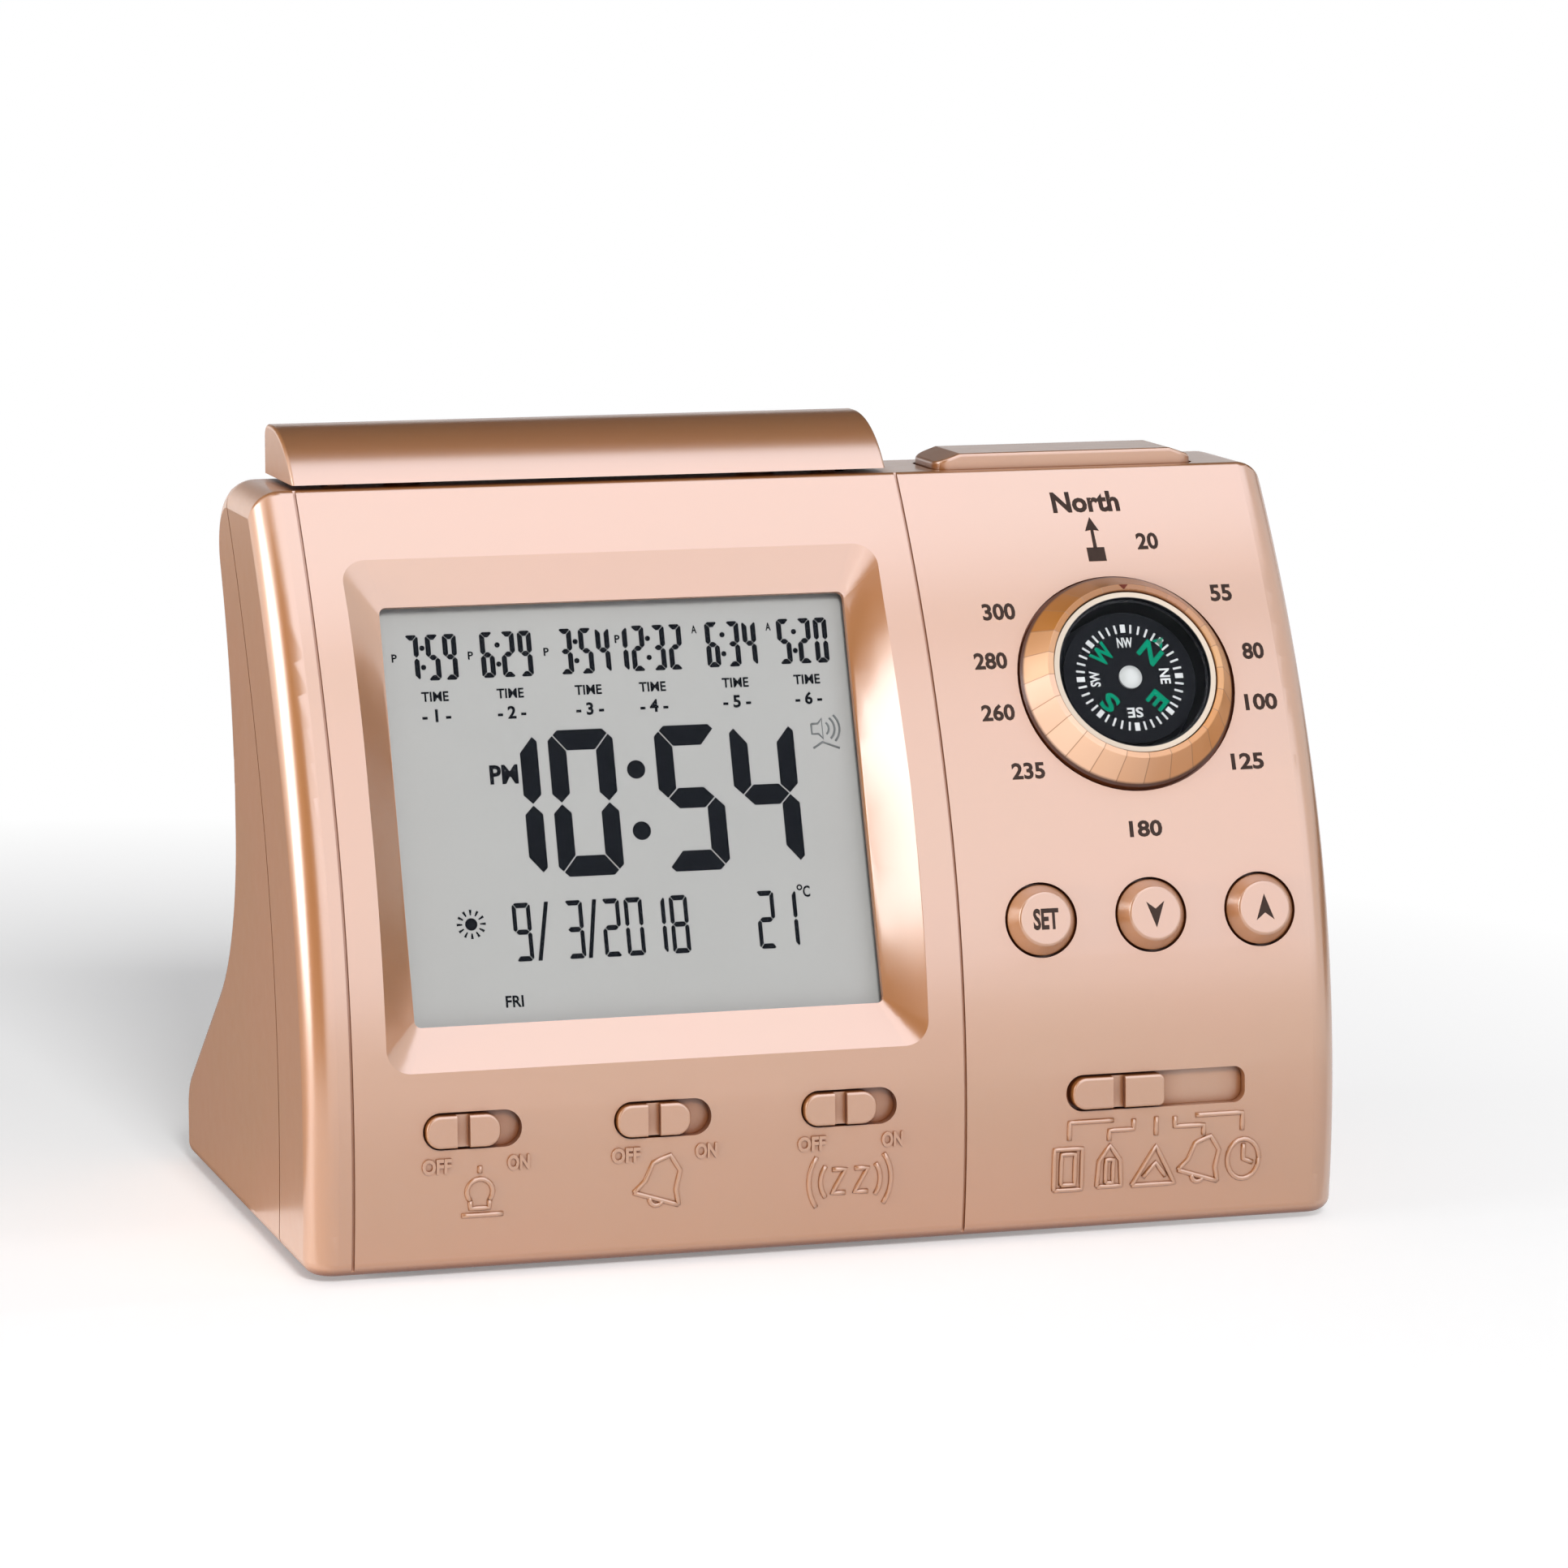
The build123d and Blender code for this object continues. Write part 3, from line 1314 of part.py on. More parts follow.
# ---- Long key ------------------------------------------------------------------------------
with BuildPart() as long_key:
    extrude(long_key_plan(flange_top_z), amount=roof_z + long_key_rise - flange_top_z)
    with BuildSketch(Plane.XZ):
        for side in (-1, 1):
            end = long_key_x + side * (long_key_length / 2 + slip)
            top = roof_z + long_key_rise
            with BuildLine():
                Polyline(
                    (end, top + slip),
                    (end - side * (long_key_slope + slip), top + slip),
                    (end - side * (long_key_slope + slip), top),
                    (end, top - long_key_drop),
                    close=True,
                )
            make_face()
    extrude(amount=case_depth, both=True, mode=Mode.SUBTRACT)
    top_edges = long_key.edges().filter_by(lambda edge: edge.center().Z > roof_z + slip)
    fillet(top_edges.filter_by(Axis.Z, reverse=True), long_key_edge_radius)
    # The flange under the roof reaches past the opening at the ends and the back.
    with BuildSketch(Plane((long_key_x, long_key_y + long_key_flange_reach / 2, flange_top_z))):
        RectangleRounded(
            long_key_length + 2 * long_key_flange_reach,
            long_key_width + long_key_flange_reach,
            long_key_corner,
        )
    extrude(amount=-key_flange)
    with BuildSketch(Plane((long_key_x, long_key_y, flange_top_z - key_flange))):
        Rectangle(
            long_key_length - 2 * long_key_slope - 2 * rib,
            long_key_width - 2 * rib,
        )
    extrude(amount=wall + long_key_rise, mode=Mode.SUBTRACT)
    with BuildSketch(roof_plane(long_key_x, plunger_tip_z)):
        Circle(bar_post_radius)
    extrude(amount=roof_z - plunger_tip_z + long_key_rise / 2)
long_key.part.label = "long_key"
export_step(long_key.part, "parts/long_key.step")

with BuildPart() as long_key_plunger:
    add(tact_plunger(roof_plane(long_key_x, top_switch_z)))
long_key_plunger.part.label = "long_key_plunger"
export_step(long_key_plunger.part, "parts/long_key_plunger.step")

# ---- Switches and board under the roof -----------------------------------------------------
with BuildPart() as top_switches:
    for x in (*bar_post_x, long_key_x):
        add(tact_switch(roof_plane(x, top_switch_z)))
top_switches.part.label = "top_switches"
export_step(top_switches.part, "parts/top_switches.step")

top_board_left = bar_post_x[0] - tact_side
top_board_right = long_key_x + tact_side
with BuildPart() as top_board:
    with BuildSketch(roof_plane(0, top_board_z)):
        with Locations(((top_board_left + top_board_right) / 2, 0)):
            Rectangle(top_board_right - top_board_left, top_board_width)
        with Locations(*[(x, 0) for x in top_board_post_x]):
            Circle(small_screw_radius + slip, mode=Mode.SUBTRACT)
    extrude(amount=-board_thickness)
top_board.part.label = "top_board"
export_step(top_board.part, "parts/top_board.step")


# ---- Speaker -------------------------------------------------------------------------------
def speaker_turned(points):
    """A round piece on the speaker's axis, from (radius, distance ahead of the seat) points."""
    section_plane = Plane(speaker_plane().origin, x_dir=(1, 0, 0), z_dir=(0, 0, -1))
    with BuildPart() as piece:
        with BuildSketch(section_plane):
            with BuildLine():
                Polyline(*points, close=True)
            make_face()
        revolve(axis=Axis(speaker_plane().origin, (0, 1, 0)))
    return piece.part


with BuildPart() as speaker_frame:
    add(
        speaker_turned(
            [
                (speaker_radius, 0),
                (speaker_radius, speaker_flange),
                (cone_radius + rib, speaker_flange),
                (basket_radius, basket_depth),
                (basket_radius / 3, basket_depth),
                (basket_radius / 3, basket_depth - basket_wall),
                (basket_radius - basket_wall, basket_depth - basket_wall),
                (cone_radius, speaker_flange),
                (cone_radius, 0),
            ]
        )
    )
speaker_frame.part.label = "speaker_frame"
export_step(speaker_frame.part, "parts/speaker_frame.step")

with BuildPart() as speaker_cone:
    add(
        speaker_turned(
            [
                (0, speaker_flange),
                (basket_radius / 4, speaker_flange * 1.2),
                (basket_radius / 2, basket_depth / 2),
                (cone_radius - rib, -basket_wall),
                (cone_radius + rib - slip, -basket_wall),
                (cone_radius + rib - slip, 0),
                (cone_radius - basket_wall, 0),
                (basket_radius / 2, basket_depth / 2 + basket_wall),
                (basket_radius / 4, speaker_flange * 1.2 + basket_wall),
                (0, speaker_flange + basket_wall),
            ]
        )
    )
speaker_cone.part.label = "speaker_cone"
export_step(speaker_cone.part, "parts/speaker_cone.step")

with BuildPart() as speaker_magnet:
    with BuildSketch(speaker_plane(basket_depth)):
        Circle(magnet_radius)
    extrude(amount=magnet_depth)
speaker_magnet.part.label = "speaker_magnet"
export_step(speaker_magnet.part, "parts/speaker_magnet.step")

# ---- Feet and fastenings -------------------------------------------------------------------
with BuildPart() as rubber_feet:
    for foot_y in (front_foot_y, rear_foot_y):
        with BuildSketch(Plane((0, front_y + foot_y, 0))):
            with GridLocations(2 * foot_x, 1, 2, 1):
                Circle(foot_radius)
    extrude(amount=floor_z + foot_recess)
    soles = rubber_feet.faces().group_by(Axis.Z)[0]
    fillet(soles.edges(), foot_edge_radius)
rubber_feet.part.label = "rubber_feet"
export_step(rubber_feet.part, "parts/rubber_feet.step")

with BuildPart() as case_screws:
    for x, height in case_screw_spots:
        with BuildSketch(screw_plane(x, height, head_setback)):
            Circle(screw_radius)
        extrude(amount=screw_length)
        with BuildSketch(screw_plane(x, height, head_setback)):
            Circle(screw_head_radius)
        extrude(amount=-screw_head_height)
case_screws.part.label = "case_screws"
export_step(case_screws.part, "parts/case_screws.step")

with BuildPart() as board_screws:
    for x in (-board_boss_x, board_boss_x):
        for y in (-board_boss_spread, board_boss_spread):
            seat = display_plane(-pod_depth - board_thickness)
            add(small_screw(Plane(seat.from_local_coords((x, y, 0)), seat.x_dir, seat.z_dir)))
    for x in (key_middle_x - key_boss_x, key_middle_x + key_boss_x):
        seat = face_plane(x, key_height, key_board_lift - board_thickness)
        add(small_screw(Plane(seat.from_local_coords((0, key_boss_y, 0)), seat.x_dir, seat.z_dir)))
    for x in slide_boss_x:
        seat = face_plane(x, slide_height, slide_board_lift - board_thickness)
        add(small_screw(Plane(seat.from_local_coords((0, slide_boss_y, 0)), seat.x_dir, seat.z_dir)))
    for x in top_board_post_x:
        add(small_screw(roof_plane(x, top_board_z - board_thickness)))
board_screws.part.label = "board_screws"
export_step(board_screws.part, "parts/board_screws.step")
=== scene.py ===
"""Prayer clock: finishes, prints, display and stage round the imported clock, laid out as an add-on.

Metres in the clock's own frame. Marks are drawn in millimetres on the flat or face that carries
them: x runs right, y runs up and z stands out of it.
"""

import json
from math import ceil, cos, hypot, radians, sin, tau

import bmesh
import bpy
from bpy.props import (
    FloatProperty,
    FloatVectorProperty,
    IntProperty,
    PointerProperty,
    StringProperty,
)
from bpy.types import Operator, Panel, PropertyGroup
from mathutils import Matrix, Vector
from mathutils.bvhtree import BVHTree

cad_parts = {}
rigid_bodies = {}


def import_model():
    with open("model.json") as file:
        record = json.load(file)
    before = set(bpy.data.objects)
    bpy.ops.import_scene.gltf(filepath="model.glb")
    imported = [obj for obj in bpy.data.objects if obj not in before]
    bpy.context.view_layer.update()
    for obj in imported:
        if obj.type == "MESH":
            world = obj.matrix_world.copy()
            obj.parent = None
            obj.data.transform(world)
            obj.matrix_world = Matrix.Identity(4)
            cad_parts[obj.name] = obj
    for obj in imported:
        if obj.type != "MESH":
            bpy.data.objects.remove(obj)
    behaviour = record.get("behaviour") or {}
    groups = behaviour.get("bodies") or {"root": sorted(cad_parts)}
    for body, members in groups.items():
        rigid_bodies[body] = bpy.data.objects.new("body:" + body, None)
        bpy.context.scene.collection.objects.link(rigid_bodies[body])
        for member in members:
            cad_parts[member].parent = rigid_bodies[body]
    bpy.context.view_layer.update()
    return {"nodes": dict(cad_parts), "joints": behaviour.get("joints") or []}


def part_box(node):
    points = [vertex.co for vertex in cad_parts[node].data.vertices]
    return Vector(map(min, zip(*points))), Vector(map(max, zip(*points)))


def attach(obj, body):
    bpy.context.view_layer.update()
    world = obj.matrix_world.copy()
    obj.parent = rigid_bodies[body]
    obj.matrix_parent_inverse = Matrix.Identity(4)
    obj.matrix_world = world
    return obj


bl_info = {
    "name": "Prayer Clock",
    "version": (1, 0, 0),
    "blender": (4, 5, 0),
    "location": "View3D > Sidebar > Clock",
    "description": "Finishes, prints and lights a table prayer clock round its frame",
    "category": "Object",
}

for leftover in list(bpy.data.objects):
    bpy.data.objects.remove(leftover)
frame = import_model()
NODES = frame["nodes"]
COMPASS_JOINT = next(j for j in frame["joints"] if j["name"] == "compass_turn")
COMPASS_PLACE = Vector(COMPASS_JOINT["pos_m"])
COMPASS_AXIS = Vector(COMPASS_JOINT["axis"]).normalized()

MM = 0.001
RIGHT = Vector((1, 0, 0))
FORWARDS = Vector((0, -1, 0))


# ---- Settings ----
def colour_property(name, description, default):
    """A colour setting, shown as a swatch."""
    look = {"subtype": "COLOR", "size": 3, "min": 0.0, "max": 1.0}
    return FloatVectorProperty(name=name, description=description, default=default, **look)


def share_property(name, description, default):
    """A setting from 0 to 1, shown as a slider."""
    return FloatProperty(
        name=name, description=description, default=default, min=0.0, max=1.0, subtype="FACTOR"
    )


def power_property(name, description, default):
    """The power of a lamp."""
    return FloatProperty(name=name, description=description, default=default, unit="POWER")


class ClockPaint(PropertyGroup):
    """The metallic paint of the case, bar, keys and knobs."""

    colour: colour_property("Paint", "Colour of the case paint", (0.38, 0.152, 0.043))
    metal: share_property("Metal", "Share of metal flake in the paint", 0.2)
    roughness: share_property("Roughness", "How soft the paint's reflections are", 0.4)
    lacquer: FloatProperty(
        name="Lacquer",
        description="Refractive index of the pearly lacquer over the paint",
        default=3.0,
        min=1.0,
        max=3.0,
    )
    flake: FloatProperty(
        name="Flake",
        description="Size of the paint's metal flakes",
        default=0.12 * MM,
        unit="LENGTH",
    )
    print_colour: colour_property(
        "Print", "Colour of the words and marks printed on the case", (0.045, 0.03, 0.025)
    )


class ClockDisplay(PropertyGroup):
    """What the display shows, and its two colours."""

    main_time: StringProperty(name="Time", description="Large time", default="10:54")
    small_times: StringProperty(
        name="Prayer times",
        description="The six small times, from left to right",
        default="7:59 6:29 3:54 12:32 6:34 5:20",
    )
    date: StringProperty(name="Date", description="Date row", default="9/ 3/2018")
    degrees: StringProperty(name="Degrees", description="Temperature", default="21")
    ground: colour_property("Ground", "Colour of the unlit display", (0.37, 0.37, 0.355))
    mark: colour_property("Marks", "Colour of the lit segments", (0.004, 0.005, 0.007))


class ClockCompass(PropertyGroup):
    """The compass card and the ring round it."""

    ring_segments: IntProperty(
        name="Ring segments", description="Flats seen round the ring", default=24, min=8
    )
    ticks: IntProperty(
        name="Ticks", description="Lines round the compass card", default=40, min=8
    )
    points: colour_property("Points", "Colour of the four main points", (0.0, 0.22, 0.12))
    marks: colour_property("Marks", "Colour of the card's other marks", (0.62, 0.64, 0.64))


class ClockStage(PropertyGroup):
    """Light and floor."""

    key_power: power_property("Key light", "Power of the broad lamp", 5.6)
    top_power: power_property("Top light", "Power of the lamp overhead", 7.8)
    shadow_power: power_property("Shadow light", "Power of the lamp that draws the shadow", 7.5)
    left_power: power_property("Left light", "Power of the lamp the left edge mirrors", 8.2)
    side_power: power_property("Side light", "Power of the lamp that fills the left side", 12.0)
    card: share_property("Cards", "How light the cards at the back and sides are", 0.03)
    cool: colour_property("Lamp tint", "Colour of the two broad lamps", (0.87, 0.88, 1.0))
    sky: FloatProperty(
        name="Sky", description="Even light from all round", default=0.24, min=0.0
    )


SETTINGS = {
    "clock_paint": ClockPaint,
    "clock_display": ClockDisplay,
    "clock_compass": ClockCompass,
    "clock_stage": ClockStage,
}


# ---- Seats that marks are drawn on ----
LOOKS_FORWARD = -0.5  # greatest y of a forward face's normal
SAME_WAY = 0.9999  # cosine between flats that face the same way
SAME_DEPTH = 0.01 * MM


def seat_matrix(centre, outward):
    """Local x right, y up and z out of a flat that looks outward, in millimetres."""
    up = outward.cross(RIGHT).normalized()
    axes = Matrix((RIGHT, up, outward)).transposed().to_4x4()
    return Matrix.Translation(centre) @ axes @ Matrix.Scale(MM, 4)


def front_seat(node):
    """The seat on the foremost flat of a node, about that flat's middle."""
    mesh = NODES[node].data
    forward = [face for face in mesh.polygons if face.normal.y < LOOKS_FORWARD]
    outward = max(forward, key=lambda face: face.area).normal.copy()
    level = [face for face in forward if face.normal.dot(outward) > SAME_WAY]
    top = max(face.center.dot(outward) for face in level)
    flat = [face for face in level if face.center.dot(outward) > top - SAME_DEPTH]
    corners = [mesh.vertices[i].co for face in flat for i in face.vertices]
    centre = Vector(
        (min(c[axis] for c in corners) + max(c[axis] for c in corners)) / 2
        for axis in range(3)
    )
    return seat_matrix(centre, outward)


def compass_seat(node=None):
    """The seat across the compass, through its joint or on top of one of its nodes."""
    lift = 0.0
    if node is not None:
        lift = max((v.co - COMPASS_PLACE).dot(COMPASS_AXIS) for v in NODES[node].data.vertices)
    return seat_matrix(COMPASS_PLACE + COMPASS_AXIS * lift, COMPASS_AXIS)


def shell_tree():
    """The front shell's surface, for laying marks on it."""
    mesh = NODES["front_shell"].data
    points = [vertex.co for vertex in mesh.vertices]
    return BVHTree.FromPolygons(points, [face.vertices[:] for face in mesh.polygons])


FACE = shell_tree()
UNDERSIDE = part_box("front_shell")[0].z
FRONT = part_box("front_shell")[0].y


def lay_on_face(bm, x, height):
    """Moves a mesh drawn in millimetres onto the front, about x and a height on the case."""
    for vertex in bm.verts:
        across = (vertex.co.x + x) * MM
        level = UNDERSIDE + (vertex.co.y + height) * MM
        start = Vector((across, FRONT - 0.1, level))
        surface = FACE.ray_cast(start, -FORWARDS)[0]
        vertex.co = surface + FORWARDS * vertex.co.z * MM


# ---- Building pieces ----
WELD = 0.0005 * MM
DOT_SIDES = 20


def add_object(name, bm, finish):
    """Turns a bmesh into an object with a finish."""
    mesh = bpy.data.meshes.new(name)
    bm.to_mesh(mesh)
    bm.free()
    mesh.materials.append(finish.material)
    thing = bpy.data.objects.new(name, mesh)
    bpy.context.scene.collection.objects.link(thing)
    return thing


def add_piece(name, bm, finish, body="case", seat=None, smooth=False):
    """Turns a bmesh into a piece that rides on a body. A seat says it is drawn on that."""
    if seat is not None:
        bmesh.ops.transform(bm, matrix=seat, verts=bm.verts)
    bmesh.ops.remove_doubles(bm, verts=bm.verts, dist=WELD)
    bmesh.ops.recalc_face_normals(bm, faces=bm.faces)
    piece = add_object(name, bm, finish)
    if smooth:
        piece.data.shade_smooth()
    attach(piece, body)


def join(bm, other, place=None):
    """Adds another bmesh to bm, moved by a matrix, and frees it."""
    if place is not None:
        bmesh.ops.transform(other, matrix=place, verts=other.verts)
    spare = bpy.data.meshes.new("spare")
    other.to_mesh(spare)
    other.free()
    bm.from_mesh(spare)
    bpy.data.meshes.remove(spare)


def flat_shape(bm, points):
    """One flat face through a few corners."""
    bm.faces.new([bm.verts.new((x, y, 0)) for x, y in points])


def dot(bm, x, y, radius):
    """A flat disc."""
    place = Matrix.Translation((x, y, 0))
    bmesh.ops.create_circle(bm, cap_ends=True, radius=radius, segments=DOT_SIDES, matrix=place)


def thicken(bm, thickness):
    """Gives flat faces a thickness, from their plane outwards."""
    grown = bmesh.ops.extrude_face_region(bm, geom=bm.faces[:], use_keep_orig=True)
    moved = [v for v in grown["geom"] if isinstance(v, bmesh.types.BMVert)]
    bmesh.ops.translate(bm, verts=moved, vec=(0, 0, thickness))


def curve_mesh(curve):
    """Turns a curve into a bmesh and takes the curve away."""
    holder = bpy.data.objects.new(curve.name, curve)
    bpy.context.scene.collection.objects.link(holder)
    bpy.context.view_layer.update()
    mesh = bpy.data.meshes.new_from_object(
        holder.evaluated_get(bpy.context.evaluated_depsgraph_get())
    )
    bm = bmesh.new()
    bm.from_mesh(mesh)
    bpy.data.objects.remove(holder)
    bpy.data.curves.remove(curve)
    bpy.data.meshes.remove(mesh)
    return bm


def words(text, width, height, thickness, weight):
    """Lettering about its middle, of a given height, and width unless that is 0."""
    curve = bpy.data.curves.new("words", "FONT")
    curve.body = text
    curve.extrude = 0.5
    curve.offset = weight
    curve.resolution_u = 3
    bm = curve_mesh(curve)
    low = Vector(min(v.co[axis] for v in bm.verts) for axis in range(3))
    high = Vector(max(v.co[axis] for v in bm.verts) for axis in range(3))
    size = high - low
    bmesh.ops.translate(bm, verts=bm.verts, vec=-(low + high) / 2)
    across = width / size.x if width else height / size.y
    bmesh.ops.scale(bm, verts=bm.verts, vec=(across, height / size.y, thickness / size.z))
    return bm


def wire(points, radius, closed=False):
    """A thin round line through a few points, drawn half sunk in its seat."""
    curve = bpy.data.curves.new("wire", "CURVE")
    curve.dimensions = "3D"
    curve.bevel_depth = radius
    curve.bevel_resolution = 2
    curve.use_fill_caps = True
    spline = curve.splines.new("POLY")
    spline.points.add(len(points) - 1)
    for point, (x, y) in zip(spline.points, points):
        point.co = (x, y, 0, 1)
    spline.use_cyclic_u = closed
    return curve_mesh(curve)


def turned(points, turn, x=0.0, y=0.0, size=1.0):
    """Points turned anticlockwise by radians, scaled and moved."""
    return [
        (x + size * (u * cos(turn) - v * sin(turn)), y + size * (u * sin(turn) + v * cos(turn)))
        for u, v in points
    ]


def arc(x, y, radius, start, end, steps, squeeze=1.0):
    """Points along an arc, in degrees anticlockwise from the right, narrowed by squeeze."""
    turns = [radians(start + (end - start) * step / steps) for step in range(steps + 1)]
    return [(x + radius * squeeze * cos(t), y + radius * sin(t)) for t in turns]


# ---- Shader building blocks ----
NUMBER = "NodeSocketFloat"
MIX_FIRST, MIX_SECOND, MIX_RESULT = 6, 7, 2  # a Mix node's sockets for colours


def new_group(name, inputs, outputs):
    """An empty shader node group with named sockets for numbers."""
    group = bpy.data.node_groups.new(name, "ShaderNodeTree")
    for title, value in inputs:
        socket = group.interface.new_socket(title, in_out="INPUT", socket_type=NUMBER)
        socket.default_value = value
    for title in outputs:
        group.interface.new_socket(title, in_out="OUTPUT", socket_type=NUMBER)
    return group


def fill(tree, socket, value):
    """Links a socket to another one, or sets it to a number or colour."""
    if isinstance(value, bpy.types.NodeSocket):
        tree.links.new(value, socket)
    else:
        socket.default_value = value


def new_node(tree, kind, **values):
    """A node whose inputs are filled by title."""
    node = tree.nodes.new(kind)
    for title, value in values.items():
        fill(tree, node.inputs[title.replace("_", " ")], value)
    return node


def math(tree, operation, *values):
    """A Math node fed by sockets or numbers, which returns its output."""
    node = new_node(tree, "ShaderNodeMath")
    node.operation = operation
    for socket, value in zip(node.inputs, values):
        fill(tree, socket, value)
    return node.outputs[0]


def surface_grain_group():
    """Fine grain over a slow ripple: a height for bump and a mask for roughness and tone."""
    tree = new_group(
        "surface_grain",
        [("Grain Size", 0.2 * MM), ("Ripple Size", 3 * MM), ("Ripple Share", 0.5)],
        ["Height", "Mask"],
    )
    source, sink = new_node(tree, "NodeGroupInput"), new_node(tree, "NodeGroupOutput")
    place = new_node(tree, "ShaderNodeTexCoord").outputs["Object"]
    layers = []
    for title, detail in (("Grain Size", 1.0), ("Ripple Size", 3.0)):
        scale = math(tree, "DIVIDE", 1.0, source.outputs[title])
        node = new_node(tree, "ShaderNodeTexNoise", Vector=place, Scale=scale, Detail=detail)
        layers.append(node.outputs["Fac"])
    fine, slow = layers
    share = source.outputs["Ripple Share"]
    mix = new_node(tree, "ShaderNodeMix", Factor=share, A=fine, B=slow)
    tree.links.new(mix.outputs["Result"], sink.inputs["Height"])
    tree.links.new(slow, sink.inputs["Mask"])


def crevice_group():
    """A mask for painted shade: 1 in the open, falling towards 0 in gaps and corners."""
    tree = new_group("crevice", [("Reach", 2 * MM)], ["Open"])
    source, sink = new_node(tree, "NodeGroupInput"), new_node(tree, "NodeGroupOutput")
    shade = new_node(tree, "ShaderNodeAmbientOcclusion", Distance=source.outputs["Reach"])
    shade.samples = 8
    tree.links.new(shade.outputs["AO"], sink.inputs["Open"])


class Finish:
    """A material with a Principled shader and helpers to feed it."""

    def __init__(self, name, colour, roughness, metallic=0.0, **sockets):
        self.colour = colour
        self.material = bpy.data.materials.new(name)
        self.material.use_nodes = True
        self.tree = self.material.node_tree
        self.shader = self.tree.nodes["Principled BSDF"]
        self.feed("Base Color", (*colour, 1.0))
        self.feed("Roughness", roughness)
        self.feed("Metallic", metallic)
        for title, value in sockets.items():
            self.feed(title.replace("_", " "), value)
        self.material.diffuse_color = (*colour, 1.0)

    def feed(self, title, value):
        """Sets one of the shader's own sockets, or links it to another socket."""
        fill(self.tree, self.shader.inputs[title], value)

    def node(self, kind, **values):
        """A new node of the material."""
        return new_node(self.tree, kind, **values)

    def place(self):
        """Object coordinates, in metres."""
        return self.node("ShaderNodeTexCoord").outputs["Object"]

    def local(self, seat):
        """Coordinates in millimetres about a seat."""
        back = seat.inverted()
        node = self.node(
            "ShaderNodeMapping",
            Vector=self.place(),
            Scale=(1 / MM,) * 3,
            Rotation=back.to_euler(),
            Location=back.translation,
        )
        return node.outputs["Vector"]

    def math(self, operation, *values):
        """A Math node's output."""
        return math(self.tree, operation, *values)

    def noise(self, size, detail):
        """Noise on the piece, from 0 to 1, with features about one size across in metres."""
        place = self.place()
        node = self.node("ShaderNodeTexNoise", Vector=place, Scale=1 / size, Detail=detail)
        return node.outputs["Fac"]

    def radius(self, seat):
        """Distance from the axis of a seat, in millimetres."""
        flat = self.node("ShaderNodeVectorMath", Vector=self.local(seat))
        flat.operation = "MULTIPLY"
        flat.inputs[1].default_value = (1, 1, 0)
        length = self.node("ShaderNodeVectorMath", Vector=flat.outputs["Vector"])
        length.operation = "LENGTH"
        return length.outputs["Value"]

    def ramp(self, factor, *stops):
        """A colour ramp through (position, colour) stops."""
        node = self.node("ShaderNodeValToRGB", Fac=factor)
        elements = node.color_ramp.elements
        while len(elements) < len(stops):
            elements.new(1.0)
        for element, (position, colour) in zip(elements, stops):
            element.position = position
            element.color = (*colour, 1.0)
        return node.outputs["Color"]

    def range(self, factor, low, high, start=0.0, end=1.0):
        """Maps a factor from start and end to low and high."""
        node = self.node(
            "ShaderNodeMapRange",
            Value=factor,
            From_Min=start,
            From_Max=end,
            To_Min=low,
            To_Max=high,
        )
        return node.outputs["Result"]

    def mix(self, factor, first, second):
        """A colour between two, each a colour or a socket."""
        node = self.node("ShaderNodeMix")
        node.data_type = "RGBA"
        fill(self.tree, node.inputs["Factor"], factor)
        for index, value in ((MIX_FIRST, first), (MIX_SECOND, second)):
            colour = (*value, 1.0) if isinstance(value, tuple) else value
            fill(self.tree, node.inputs[index], colour)
        return node.outputs[MIX_RESULT]

    def tone(self, mask, low, high):
        """The finish's own colour, scaled from low to high by a mask."""
        return self.mix(mask, darker(self.colour, low), darker(self.colour, high))

    def group(self, name, **values):
        """A node group with its own values."""
        node = self.node("ShaderNodeGroup")
        node.node_tree = bpy.data.node_groups[name]
        for title, value in values.items():
            node.inputs[title.replace("_", " ")].default_value = value
        return node.outputs

    def grain(self, grain_size, ripple_size, ripple_share, depth, strength):
        """Bump from the grain group, in metres of depth, which returns its mask."""
        outputs = self.group(
            "surface_grain",
            Grain_Size=grain_size,
            Ripple_Size=ripple_size,
            Ripple_Share=ripple_share,
        )
        bump = self.node(
            "ShaderNodeBump", Distance=depth, Strength=strength, Height=outputs["Height"]
        )
        self.feed("Normal", bump.outputs["Normal"])
        return outputs["Mask"]


def tinted(colour, tint):
    """A colour with each part scaled by its own number."""
    return tuple(part * share for part, share in zip(colour, tint))


def darker(colour, share):
    """A colour taken down by a share."""
    return tinted(colour, (share,) * 3)


def give(finish, *names):
    """Puts a finish on CAD nodes."""
    for name in names:
        NODES[name].material_slots[0].material = finish.material


RING_COAT = 0.22
SHADE_REACH = 3.2 * MM  # painted shade darkens the paint in gaps within this distance
# scales the paint colour for the painted shade in gaps
SHADE_TINT = (0.42, 0.24, 0.13)
FLAKE_TINT = (1.02, 0.985, 1.02)


